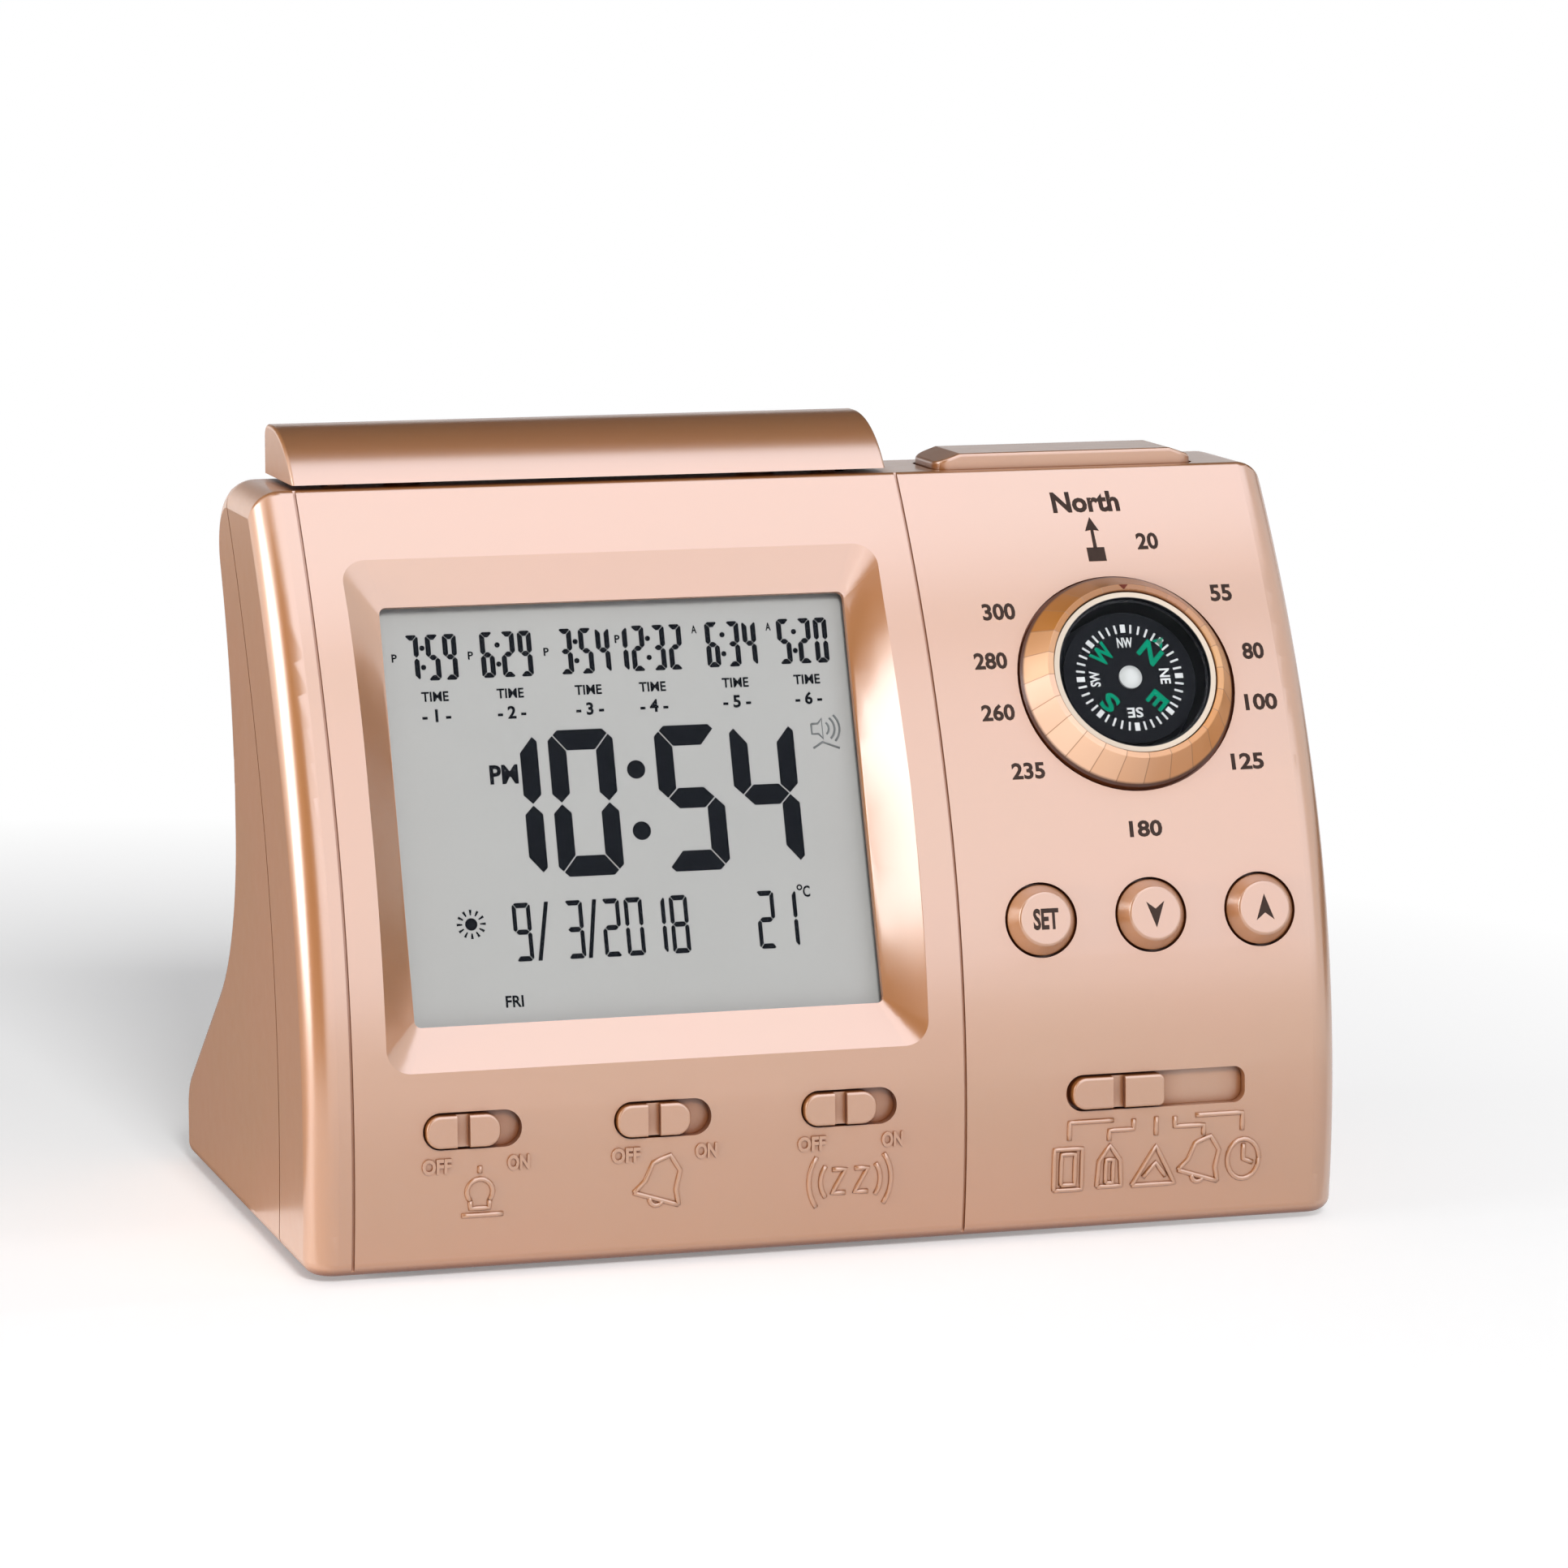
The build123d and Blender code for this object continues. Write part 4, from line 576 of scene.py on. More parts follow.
def case_paint(name, seat=None):
    """Metallic paint with fine flakes, and painted shade that darkens it in gaps. A seat makes it
    the ring's.
    """
    paint = bpy.context.scene.clock_paint
    colour = tuple(paint.colour)
    finish = Finish(
        name,
        colour,
        paint.roughness,
        paint.metal,
        Coat_Weight=1.0,
        Coat_Roughness=0.24,
        Coat_IOR=paint.lacquer,
    )
    mask = finish.grain(paint.flake, 2.5 * MM, 0.35, 0.004 * MM, 0.6)
    tone = finish.range(finish.noise(14 * MM, 1.0), 0.0, 1.0, 0.35, 0.65)
    base = finish.mix(tone, colour, tinted(colour, FLAKE_TINT))
    # Painted shade: gaps and corners get a darker paint colour and a thinner lacquer
    gap = finish.group("crevice", Reach=SHADE_REACH)["Open"]
    if seat is None:
        finish.feed("Coat Weight", finish.range(gap, 0.1, 1.0, 0.3, 0.9))
    else:
        base = ring_segments(finish, seat)
        finish.feed("Coat Weight", RING_COAT)
    open_share = finish.range(gap, 0.0, 1.0, 0.25, 0.8)
    finish.feed("Base Color", finish.mix(open_share, tinted(colour, SHADE_TINT), base))
    finish.feed("Roughness", finish.range(mask, paint.roughness - 0.04, paint.roughness + 0.05))
    return finish


CUP_INNER = 9.2  # radius of the wall within the cup's rim, in millimetres
RING_FOOT = 12.7  # painted gap shade covers the ring outside this radius
# colour of the painted shade in the gap round the ring
FOOT_SHADE = (0.05, 0.01, 0.003)
RING_LINE = (0.25, 0.12, 0.05)  # colour between the ring's flats
DEEP_BLACK = (0.006, 0.007, 0.009)
# Painted reflections: one tone for each flat, by its angle from the left through the bottom, right
# and top; light at the left and darkest at the top
RING_REFLECTION_TONES = (
    (0.0, (0.66, 0.40, 0.27)),
    (0.09, (0.72, 0.47, 0.32)),
    (0.25, (0.56, 0.28, 0.13)),
    (0.38, (0.50, 0.20, 0.04)),
    (0.5, (0.54, 0.28, 0.11)),
    (0.62, (0.34, 0.14, 0.06)),
    (0.75, (0.25, 0.09, 0.012)),
    (0.88, (0.34, 0.12, 0.005)),
    (0.97, (0.62, 0.36, 0.20)),
)


def ring_segments(finish, seat):
    """Flats round a ring, each with a painted reflection tone set by its angle, with a dark line
    between and painted gap shade on its foot.
    """
    count = bpy.context.scene.clock_compass.ring_segments
    split = finish.node("ShaderNodeSeparateXYZ", Vector=finish.local(seat))
    angle = finish.math("ARCTAN2", split.outputs["Y"], split.outputs["X"])
    turn = finish.math("MULTIPLY", angle, count / tau)
    step = finish.math("FLOOR", turn)
    round_share = finish.math("ADD", finish.math("DIVIDE", step, count), 0.5)
    # painted reflection: each flat takes its tone from its angle
    shade = finish.ramp(round_share, *RING_REFLECTION_TONES)
    inside = finish.math("FRACT", turn)
    edge = finish.math("ABSOLUTE", finish.math("SUBTRACT", inside, 0.5))
    lined = finish.mix(finish.range(edge, 0.0, 1.0, 0.47, 0.5), shade, RING_LINE)
    # painted shade of the gap round the ring's foot
    foot = finish.range(finish.radius(seat), 0.0, 1.0, RING_FOOT, RING_FOOT + 0.2)
    return finish.mix(foot, lined, FOOT_SHADE)


def clear_cover(name):
    """A thin clear cover: it shows what is behind it and mirrors more at a glancing angle."""
    finish = Finish(name, (1.0, 1.0, 1.0), 0.03, 1.0)
    finish.feed("Alpha", finish.node("ShaderNodeFresnel", IOR=1.1).outputs["Fac"])
    return finish


def plain_plastic(name, colour, roughness, grain_size=0.25 * MM, depth=0.01 * MM, gloss=0.5):
    """Moulded plastic with a fine texture."""
    finish = Finish(name, colour, roughness, Specular_IOR_Level=gloss)
    mask = finish.grain(grain_size, 4 * MM, 0.3, depth, 0.5)
    finish.feed("Base Color", finish.tone(mask, 0.9, 1.08))
    finish.feed("Roughness", finish.range(mask, roughness - 0.08, roughness + 0.08))
    return finish


def cup_plastic():
    """Cream plastic at the cup's rim and black within it."""
    finish = Finish("cup_plastic", (0.62, 0.53, 0.43), 0.35, Specular_IOR_Level=0.3)
    reach = finish.radius(compass_seat())
    inner = finish.range(reach, 0.0, 1.0, CUP_INNER + 0.05, CUP_INNER + 0.12)
    mask = finish.grain(0.25 * MM, 4 * MM, 0.3, 0.004 * MM, 0.4)
    finish.feed("Base Color", finish.mix(inner, DEEP_BLACK, finish.tone(mask, 0.94, 1.05)))
    return finish


def print_ink(name, colour):
    """Pad-printed ink, slightly uneven."""
    finish = Finish(name, colour, 0.55, Specular_IOR_Level=0.03)
    mask = finish.grain(0.15 * MM, 1.5 * MM, 0.5, 0.003 * MM, 0.4)
    finish.feed("Base Color", finish.tone(mask, 0.75, 1.35))
    return finish


def plated_steel(name, colour=(0.62, 0.61, 0.59), roughness=0.28):
    """Plated steel with faint rolling marks."""
    finish = Finish(name, colour, roughness, 1.0)
    mask = finish.grain(0.08 * MM, 1.2 * MM, 0.4, 0.004 * MM, 0.5)
    finish.feed("Base Color", finish.tone(mask, 0.85, 1.1))
    finish.feed("Roughness", finish.range(mask, roughness - 0.06, roughness + 0.12))
    return finish


def display_ground():
    """The grey reflector behind the display's segments."""
    finish = Finish("display_ground", tuple(bpy.context.scene.clock_display.ground), 0.55)
    mask = finish.grain(0.09 * MM, 18 * MM, 0.4, 0.003 * MM, 0.4)
    finish.feed("Base Color", finish.tone(mask, 0.96, 1.04))
    return finish


def circuit_board():
    """Green board with paler copper tracks under the varnish."""
    finish = Finish("circuit_board", (0.03, 0.16, 0.07), 0.35, 0.0, Coat_Weight=0.4)
    tracks = finish.node(
        "ShaderNodeTexBrick",
        Vector=finish.place(),
        Scale=1 / (6 * MM),
        Mortar_Size=0.06,
        Color1=(0.02, 0.13, 0.055, 1.0),
        Color2=(0.03, 0.17, 0.075, 1.0),
        Mortar=(0.09, 0.30, 0.12, 1.0),
    )
    finish.feed("Base Color", tracks.outputs["Color"])
    finish.grain(0.1 * MM, 2 * MM, 0.3, 0.004 * MM, 0.4)
    return finish


SLEEVE_BAND = 14 * MM  # length of the pale part
SLEEVE_END = 1.6 * MM  # how far from the cells' ends the bare steel starts


def cell_sleeve():
    """A dark sleeve with a pale band towards each cell's nub and bare steel ends."""
    low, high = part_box("battery_cells")
    finish = Finish("cell_sleeve", (0.03, 0.035, 0.045), 0.3, 0.2, Coat_Weight=0.5)
    split = finish.node("ShaderNodeSeparateXYZ", Vector=finish.place())
    rear = finish.math("GREATER_THAN", split.outputs["Y"], (low.y + high.y) / 2)
    along = finish.math("MULTIPLY", split.outputs["X"], finish.range(rear, 1.0, -1.0))
    band = finish.math("GREATER_THAN", along, high.x - SLEEVE_BAND)
    sleeve = finish.mix(band, finish.colour, (0.52, 0.50, 0.46))
    steel = finish.math("GREATER_THAN", finish.math("ABSOLUTE", along), high.x - SLEEVE_END)
    finish.feed("Base Color", finish.mix(steel, sleeve, (0.6, 0.6, 0.58)))
    finish.grain(0.1 * MM, 3 * MM, 0.3, 0.003 * MM, 0.4)
    return finish


# ---- Display marks ----
LIT = "abcdef bc abged abgcd fgbc afgcd afgedc abc abcdefg abcdfg".split()  # segments of 0 to 9
COLON_SHARES = (0.29, 0.71)  # heights of the colon's dots
COLON_RADIUS = 0.52  # of an upright segment's thickness


class Digits:
    """Seven-segment digits of one size, drawn from their bottom left corner, in millimetres."""

    def __init__(self, width, height, upright, level, corner, gap, space, colon=0.0):
        self.width = width
        self.height = height
        self.upright = upright  # thickness of the upright segments
        self.level = level  # thickness of the level ones
        self.corner = corner
        self.gap = gap
        self.space = space  # between one digit and the next
        self.colon = colon  # how much room a colon takes

    def outlines(self):
        """The corners of each segment, as a mitred frame with a pointed middle bar."""
        w, h, tx, ty = self.width, self.height, self.upright, self.level
        k, g, middle = self.corner, self.gap / 2, self.height / 2
        top = [(tx + g, h - ty), (k / 2 + g, h - k / 2), (k + g, h)]
        upper = [
            (w - k / 2, h - k / 2 - g),
            (w - tx, h - ty - g),
            (w - tx, middle + tx / 2 + g),
            (w - tx / 2, middle + g),
            (w, middle + tx / 2 + g),
            (w, h - k - g),
        ]
        tip, slope = tx / 2 + g, ty / 2
        bar = [(tip + slope, middle - slope), (tip, middle), (tip + slope, middle + slope)]
        for half in (top, bar):
            half += [(w - x, y) for x, y in reversed(half)]
        return {
            "a": top,
            "b": upper,
            "c": [(x, h - y) for x, y in upper],
            "d": [(x, h - y) for x, y in top],
            "e": [(w - x, h - y) for x, y in upper],
            "f": [(w - x, y) for x, y in upper],
            "g": bar,
        }

    def draw(self, bm, text, x, y, narrow_first=True):
        """Draws a row of digits."""
        shapes = self.outlines()
        for place, sign in enumerate(text):
            if sign == ":":
                middle = x - self.space / 2 + self.colon / 2
                for share in COLON_SHARES:
                    dot(bm, middle, y + self.height * share, self.upright * COLON_RADIUS)
                x += self.colon
                continue
            shift = 0.0
            if sign == "1" and place == 0 and narrow_first:
                shift = self.upright - self.width
            for segment in LIT[int(sign)]:
                flat_shape(bm, [(x + shift + u, y + v) for u, v in shapes[segment]])
            x += shift + self.width + self.space


BIG = Digits(7.75, 17.2, 2.1, 2.4, 1.1, 0.2, 1.3, 3.65)
SMALL = Digits(1.64, 5.4, 0.6, 0.62, 0.3, 0.08, 0.38, 0.45)
DATE = Digits(2.15, 6.8, 0.48, 0.6, 0.3, 0.1, 0.55)
BIG_START = (-12.2, -7.5)
SMALL_STARTS = (-24.7, -15.8, -6.5, 1.2, 11.2, 19.9)
SMALL_BOTTOM = (16.15, 16.2, 16.25, 16.3, 16.4, 16.45)
SMALL_MARKS = ((-26.0, 18.9), (-17.0, 18.9), (-8.0, 19.0), (0.6, 20.2), (9.9, 21.0), (18.9, 21.0))
DATE_BOTTOM = -17.05
DATE_STARTS = (-14.8, -8.65, -4.25)
SLASHES = ((-11.95, -10.7), (-6.0, -5.0))
DEGREES_START = 14.25
MARK_THICKNESS = 0.05
DISPLAY_WORDS = (  # text, middle across and up, width, height and extra weight
    ("PM", -14.3, 4.8, 3.35, 2.25, 0.03),
    ("FRI", -15.4, -21.6, 2.1, 1.35, 0.02),
    ("C", 20.45, -10.55, 0.85, 1.35, 0.02),
)
SUN_MIDDLE = (-19.7, -12.45)
SUN_RADIUS = 0.72
SUN_RAYS = 12
SUN_RAY = ((1.05, -0.075), (1.7, -0.15), (1.7, 0.15), (1.05, 0.075))


def digit_pieces(ink):
    """The large time, the six small times and the date."""
    shown = bpy.context.scene.clock_display
    seat = front_seat("lcd_panel")
    large = bmesh.new()
    BIG.draw(large, shown.main_time, *BIG_START)
    small = bmesh.new()
    for text, x, y in zip(shown.small_times.split(), SMALL_STARTS, SMALL_BOTTOM):
        SMALL.draw(small, text, x, y)
    day = bmesh.new()
    rows = (*shown.date.replace(" ", "").split("/"), shown.degrees)
    for text, x in zip(rows, (*DATE_STARTS, DEGREES_START)):
        DATE.draw(day, text, x, DATE_BOTTOM, narrow_first=False)
    for foot, head in SLASHES:
        half = DATE.upright / 2
        top = DATE_BOTTOM + DATE.height
        corners = ((foot - half, DATE_BOTTOM), (foot + half, DATE_BOTTOM))
        flat_shape(day, [*corners, (head + half, top), (head - half, top)])
    for name, bm in (("time_digits", large), ("prayer_digits", small), ("date_digits", day)):
        thicken(bm, MARK_THICKNESS)
        add_piece(name, bm, ink, seat=seat)


def display_words(ink):
    """PM, the small A and P, the weekday, the C of the degrees, and TIME and a number under each
    small time.
    """
    bm = bmesh.new()

    def put(text, x, y, width, height, weight):
        letters = words(text, width, height, 2 * MARK_THICKNESS, weight)
        join(bm, letters, Matrix.Translation((x, y, 0)))

    for row in DISPLAY_WORDS:
        put(*row)
    for number, (x, y) in enumerate(zip(SMALL_STARTS, SMALL_BOTTOM), 1):
        put("TIME", x + 3.1, y - 1.9, 3.2, 1.15, 0.02)
        put(f"- {number} -", x + 3.1, y - 4.15, 0, 1.5, 0.03)
    for letter, (x, y) in zip("PPPPAA", SMALL_MARKS):
        put(letter, x, y, 0.62, 0.95, 0.02)
    add_piece("display_words", bm, ink, seat=front_seat("lcd_panel"))


def display_signs(ink, faint):
    """The sun, the degree ring and the sounder sign."""
    seat = front_seat("lcd_panel")
    sun = bmesh.new()
    dot(sun, *SUN_MIDDLE, SUN_RADIUS)
    for ray in range(SUN_RAYS):
        flat_shape(sun, turned(SUN_RAY, tau * ray / SUN_RAYS, *SUN_MIDDLE))
    thicken(sun, MARK_THICKNESS)
    join(sun, wire(arc(19.65, -10.05, 0.27, 0, 330, 12), 0.09, closed=True))
    add_piece("sun_sign", sun, ink, seat=seat)
    sounder = bmesh.new()
    for line in (
        [(23.0, 9.2), (23.8, 9.2), (24.3, 9.8), (24.3, 7.4), (23.8, 8.0), (23.0, 8.0), (23.0, 9.2)],
        arc(24.2, 8.6, 0.9, -50, 50, 8),
        arc(24.2, 8.6, 1.6, -50, 50, 8),
        arc(24.2, 8.6, 2.2, -45, 45, 8),
        [(23.0, 6.3), (24.2, 7.0), (26.2, 6.2)],
    ):
        join(sounder, wire(line, 0.13))
    add_piece("sounder_sign", sounder, faint, seat=seat, smooth=True)


# ---- Compass marks ----
CARD_NORTH = radians(-45.0)  # anticlockwise from up
TICK_RADIUS = 6.6
TICK_LENGTH = 1.05
TICK_HALF, MAIN_HALF = 0.12, 0.3  # half widths of the thin ticks and of the eight broad ones
MAIN_SHARE = 0.95  # length of a broad tick beside a thin one
POINTS = (("N", 0, 2.6), ("E", 90, 1.9), ("S", 180, 1.9), ("W", 270, 2.6))  # with their widths
BETWEEN = (("NE", 45, 1.9), ("SE", 135, 1.9), ("SW", 225, 1.9), ("NW", 315, 1.9))
RING_POINTER = ((-0.55, 10.72), (0.0, 10.12), (0.55, 10.72))


def card_place(bearing, radius):
    """Where a mark stands on the card, at degrees clockwise from its north."""
    turn = Matrix.Rotation(CARD_NORTH - radians(bearing), 4, "Z")
    return turn @ Matrix.Translation((0, radius, 0))


def put_points(bm, points, radius, height, weight):
    """Letters round the card."""
    for text, bearing, width in points:
        letters = words(text, width, height, 2 * MARK_THICKNESS, weight)
        join(bm, letters, card_place(bearing, radius))


def card_pieces(white, green):
    """Ticks, four green points and four small white ones on the turning card."""
    count = bpy.context.scene.clock_compass.ticks
    seat = compass_seat("compass_card")
    ticks = bmesh.new()
    for tick in range(count):
        main = tick % (count // 8) == 0
        half = MAIN_HALF if main else TICK_HALF
        foot = TICK_RADIUS - TICK_LENGTH * (MAIN_SHARE if main else 1.0)
        corners = [(-half, TICK_RADIUS), (half, TICK_RADIUS), (half, foot), (-half, foot)]
        flat_shape(ticks, turned(corners, tau * tick / count + CARD_NORTH))
    thicken(ticks, MARK_THICKNESS)
    put_points(ticks, BETWEEN, 4.35, 1.25, 0.02)
    add_piece("card_ticks", ticks, white, "compass_card", seat)
    letters = bmesh.new()
    put_points(letters, POINTS, 4.2, 2.3, 0.03)
    head = bmesh.new()
    flat_shape(head, [(-0.8, 0), (0, 0.25), (0.8, 0), (0, 1.3)])
    thicken(head, MARK_THICKNESS)
    join(letters, head, card_place(0, 5.5))
    add_piece("card_points", letters, green, "compass_card", seat)


def ring_mark(ink):
    """The small pointer at the top of the ring."""
    bm = bmesh.new()
    flat_shape(bm, RING_POINTER)
    thicken(bm, MARK_THICKNESS)
    add_piece("ring_mark", bm, ink, seat=compass_seat("compass_ring"))


# ---- Prints and raised marks on the case ----
COMPASS_X = 39.3
COMPASS_HEIGHT = 62.7
BEARINGS = (20, 55, 80, 100, 125, 180, 235, 260, 280, 300)
BEARING_REACH = (16.6, 16.4)  # across and up, from the compass's middle to the numbers
INK_THICKNESS = 0.05
RAISED = 0.5  # half of a raised mark stands out of the face
SLIDE_MARKS = ((-47.3, -37.8), (-25.2, -15.7), (-3.1, 6.6))  # OFF and ON of each slide
SLIDE_WORDS_HEIGHT = 12.4
SIGN_RADIUS = 0.31
SIGN_STEP = 0.8
KEY_ARROW = ((-1.1, -1.4), (0, -0.55), (1.1, -1.4), (0, 1.65))
BELL_LEAN = radians(-18)
BELL_SIDES = (
    *((-0.5, -0.4), (-0.34, -0.1), (-0.3, 0.3), (0, 0.55)),
    *((0.3, 0.3), (0.34, -0.1), (0.5, -0.4)),
)


def face_print(ink):
    """North, its arrow, and bearings round the compass."""
    bm = bmesh.new()

    def put(shape, x, height):
        lay_on_face(shape, x, height)
        join(bm, shape)

    put(words("North", 8.4, 2.3, INK_THICKNESS, 0.035), 38.25, 82.65)
    arrow = bmesh.new()
    flat_shape(arrow, [(-0.85, 3.35), (-0.15, 3.45), (0.15, 3.45), (0.85, 3.35), (0, 4.85)])
    flat_shape(arrow, [(-0.22, 1.4), (0.22, 1.4), (0.18, 3.45), (-0.18, 3.45)])
    flat_shape(arrow, [(-1.1, 0), (1.1, 0), (1.1, 1.5), (-1.1, 1.5)])
    bmesh.ops.subdivide_edges(arrow, edges=arrow.edges[:], cuts=1)
    thicken(arrow, INK_THICKNESS)
    put(arrow, 38.35, 76.1)
    for bearing in BEARINGS:
        turn = radians(bearing)
        x = COMPASS_X + BEARING_REACH[0] * sin(turn)
        height = COMPASS_HEIGHT + BEARING_REACH[1] * cos(turn)
        text = str(bearing)
        put(words(text, 1.35 * len(text), 1.85, INK_THICKNESS, 0.03), x, height)
    add_piece("face_print", bm, ink)


def key_marks(ink):
    """SET, a down mark and an up mark, each on its own key."""
    set_mark = words("SET", 3.1, 2.5, INK_THICKNESS, 0.035)
    add_piece("set_mark", set_mark, ink, body="set_key", seat=front_seat("set_key"))
    for name, side in (("down", -1), ("up", 1)):
        key = f"{name}_key"
        bm = bmesh.new()
        flat_shape(bm, [(x, side * y) for x, y in KEY_ARROW])
        thicken(bm, INK_THICKNESS / 2)
        add_piece(f"{name}_mark", bm, ink, body=key, seat=front_seat(key))


def bell(x, y, size):
    """Lines of a small bell that leans to the right."""
    lines = (
        BELL_SIDES,
        [(-0.5, -0.4), (0.5, -0.4)],
        arc(0, -0.4, 0.14, 180, 360, 6),
    )
    return [turned(line, BELL_LEAN, x, y, size) for line in lines]


def box_lines(x, y, width, height):
    """The outline of a box about a point."""
    u, v = width / 2, height / 2
    return [(x - u, y - v), (x + u, y - v), (x + u, y + v), (x - u, y + v), (x - u, y - v)]


def raised_signs():
    """Lines of every sign under the slides: a lamp, bells, waves, and the selector's tree."""
    return [
        [(-44.4, 6.5), (-39.6, 6.5)],
        arc(-42.3, 9.2, 1.5, -40, 220, 14),
        [(-43.4, 8.2), (-43.4, 7.3), (-41.2, 7.3), (-41.2, 8.2)],
        [(-42.3, 11.4), (-42.3, 12.2)],
        *bell(-20.9, 9.2, 5.6),
        arc(1.9, 7.8, 5.3, 146, 214, 8),
        arc(1.15, 7.8, 3.15, 144, 216, 8),
        arc(2.05, 7.8, 3.15, -36, 36, 8),
        arc(1.2, 7.8, 5.3, -34, 34, 8),
        *([(x, 9.2), (x + 1.6, 9.2), (x, 6.4), (x + 1.6, 6.4)] for x in (-0.6, 2.1)),
        box_lines(28.1, 7.4, 3.4, 4.9),
        box_lines(28.1, 7.4, 1.7, 3.7),
        [(31.7, 5.1), (31.9, 8.2), (33.2, 10.0), (34.5, 8.2), (34.7, 5.1), (31.7, 5.1)],
        box_lines(33.2, 6.9, 0.9, 2.8),
        [(36.0, 5.0), (38.9, 9.6), (41.3, 5.0), (36.0, 5.0)],
        [(37.4, 5.9), (38.9, 7.6), (40.2, 5.9)],
        *bell(44.8, 7.7, 5.2),
        arc(49.8, 7.4, 2.4, 0, 360, 20, 0.82),
        [(49.8, 9.2), (49.8, 7.4), (51.0, 6.9)],
        [(28.2, 10.9), (28.2, 13.0), (33.6, 13.0)],
        [(33.1, 10.6), (33.1, 11.8), (36.1, 11.8), (36.1, 13.0)],
        [(38.9, 10.9), (38.9, 13.1)],
        [(41.2, 13.0), (41.2, 11.8), (44.8, 11.8), (44.8, 10.6)],
        [(43.8, 13.0), (49.6, 13.0), (49.6, 10.9)],
    ]


def denser(points):
    """The same line with points close enough together to follow the curved front."""
    dense = [points[0]]
    for (x0, y0), (x1, y1) in zip(points, points[1:]):
        steps = max(1, ceil(hypot(x1 - x0, y1 - y0) / SIGN_STEP))
        for step in range(1, steps + 1):
            share = step / steps
            dense.append((x0 + (x1 - x0) * share, y0 + (y1 - y0) * share))
    return dense


def raised_marks(finish):
    """OFF and ON, and the signs under the slides, in the case's own colour."""
    bm = bmesh.new()
    for off_x, on_x in SLIDE_MARKS:
        for text, x, width in (("OFF", off_x, 3.4), ("ON", on_x, 2.6)):
            shape = words(text, width, 1.8, RAISED, 0.04)
            lay_on_face(shape, x, SLIDE_WORDS_HEIGHT)
            join(bm, shape)
    for points in raised_signs():
        line = wire(denser(points), SIGN_RADIUS)
        lay_on_face(line, 0, 0)
        join(bm, line)
    add_piece("front_marks", bm, finish)


# ---- Operators ----
class CLOCK_OT_case(Operator):
    """Paint the shells, door, bar, keys, knobs and ring"""

    bl_idname = "clock.case"
    bl_label = "Case Paint"

    def execute(self, context):
        surface_grain_group()
        crevice_group()
        give(
            case_paint("champagne_paint"),
            *("front_shell", "rear_shell", "battery_door", "snooze_bar", "long_key"),
            *("set_key", "down_key", "up_key", "selector_knob"),
            *(f"{side}_slide_knob" for side in ("left", "middle", "right")),
        )
        give(case_paint("ring_paint", compass_seat()), "compass_ring")
        return {"FINISHED"}


class CLOCK_OT_display(Operator):
    """Finish the display and draw what it shows"""

    bl_idname = "clock.display"
    bl_label = "Display"

    def execute(self, context):
        shown = context.scene.clock_display
        give(display_ground(), "lcd_panel")
        give(clear_cover("clear_cover"), "display_lens", "compass_window")
        give(plain_plastic("diffuser_white", (0.8, 0.8, 0.78), 0.5), "lcd_diffuser")
        ink = print_ink("lit_segment", tuple(shown.mark))
        faint = print_ink("faint_segment", (0.16, 0.17, 0.17))
        digit_pieces(ink)
        display_words(ink)
        display_signs(ink, faint)
        return {"FINISHED"}


class CLOCK_OT_compass(Operator):
    """Finish the compass and print its card"""

    bl_idname = "clock.compass"
    bl_label = "Compass"

    def execute(self, context):
        compass = context.scene.clock_compass
        give(cup_plastic(), "compass_cup")
        give(plain_plastic("hub_white", (0.6, 0.62, 0.61), 0.25), "compass_hub")
        black = plain_plastic("card_black", DEEP_BLACK, 0.6, depth=0.0, gloss=0.05)
        give(black, "compass_card", "compass_base")
        white = print_ink("card_white", tuple(compass.marks))
        green = print_ink("card_green", tuple(compass.points))
        card_pieces(white, green)
        ring_mark(print_ink("ring_ink", (0.12, 0.03, 0.02)))
        return {"FINISHED"}


class CLOCK_OT_prints(Operator):
    """Print the words on the case and keys, and raise the signs under the slides"""

    bl_idname = "clock.prints"
    bl_label = "Prints and Signs"

    def execute(self, context):
        ink = print_ink("case_ink", tuple(context.scene.clock_paint.print_colour))
        face_print(ink)
        key_marks(ink)
        raised_marks(case_paint("raised_paint"))
        return {"FINISHED"}


class CLOCK_OT_inside(Operator):
    """Finish the boards, switches, speaker, cells and fastenings"""

    bl_idname = "clock.inside"
    bl_label = "Inside and Fastenings"

    def execute(self, context):
        give(circuit_board(), "main_board", "key_board", "slide_board", "top_board")
        give(
            plain_plastic("switch_black", (0.02, 0.02, 0.022), 0.4),
            *("key_switches", "top_switches", "slide_switches"),
            *("set_plunger", "down_plunger", "up_plunger"),
            *("bar_plungers", "long_key_plunger", "selector_lever"),
            *(f"{side}_slide_lever" for side in ("left", "middle", "right")),
        )
        give(plain_plastic("cone_paper", (0.025, 0.024, 0.023), 0.8, 0.5 * MM), "speaker_cone")
        rubber = plain_plastic("soft_rubber", (0.03, 0.03, 0.03), 0.75, 0.4 * MM, 0.03 * MM)
        give(rubber, "rubber_feet", "zebra_strips")
        give(
            plated_steel("plated_steel"),
            *("battery_contacts", "battery_springs", "case_screws", "board_screws"),
            *("compass_needle", "compass_pivot", "speaker_frame"),
        )
        give(plated_steel("magnet_nickel", (0.45, 0.44, 0.42), 0.4), "speaker_magnet")
        give(cell_sleeve(), "battery_cells")
        return {"FINISHED"}


CAMERA_PLACE = (-0.20446, -0.70791, 0.16316)
CAMERA_AIM = (-0.00141, -0.01954, 0.05244)
CAMERA_LENS = 143.0
SENSOR = 36.0
LAMP_AIM = (0, 0, 0.045)


def aim(thing, place, target):
    """Puts a lamp or camera at a place, looking at a target."""
    thing.location = place
    thing.rotation_euler = (Vector(target) - Vector(place)).to_track_quat("-Z", "Y").to_euler()


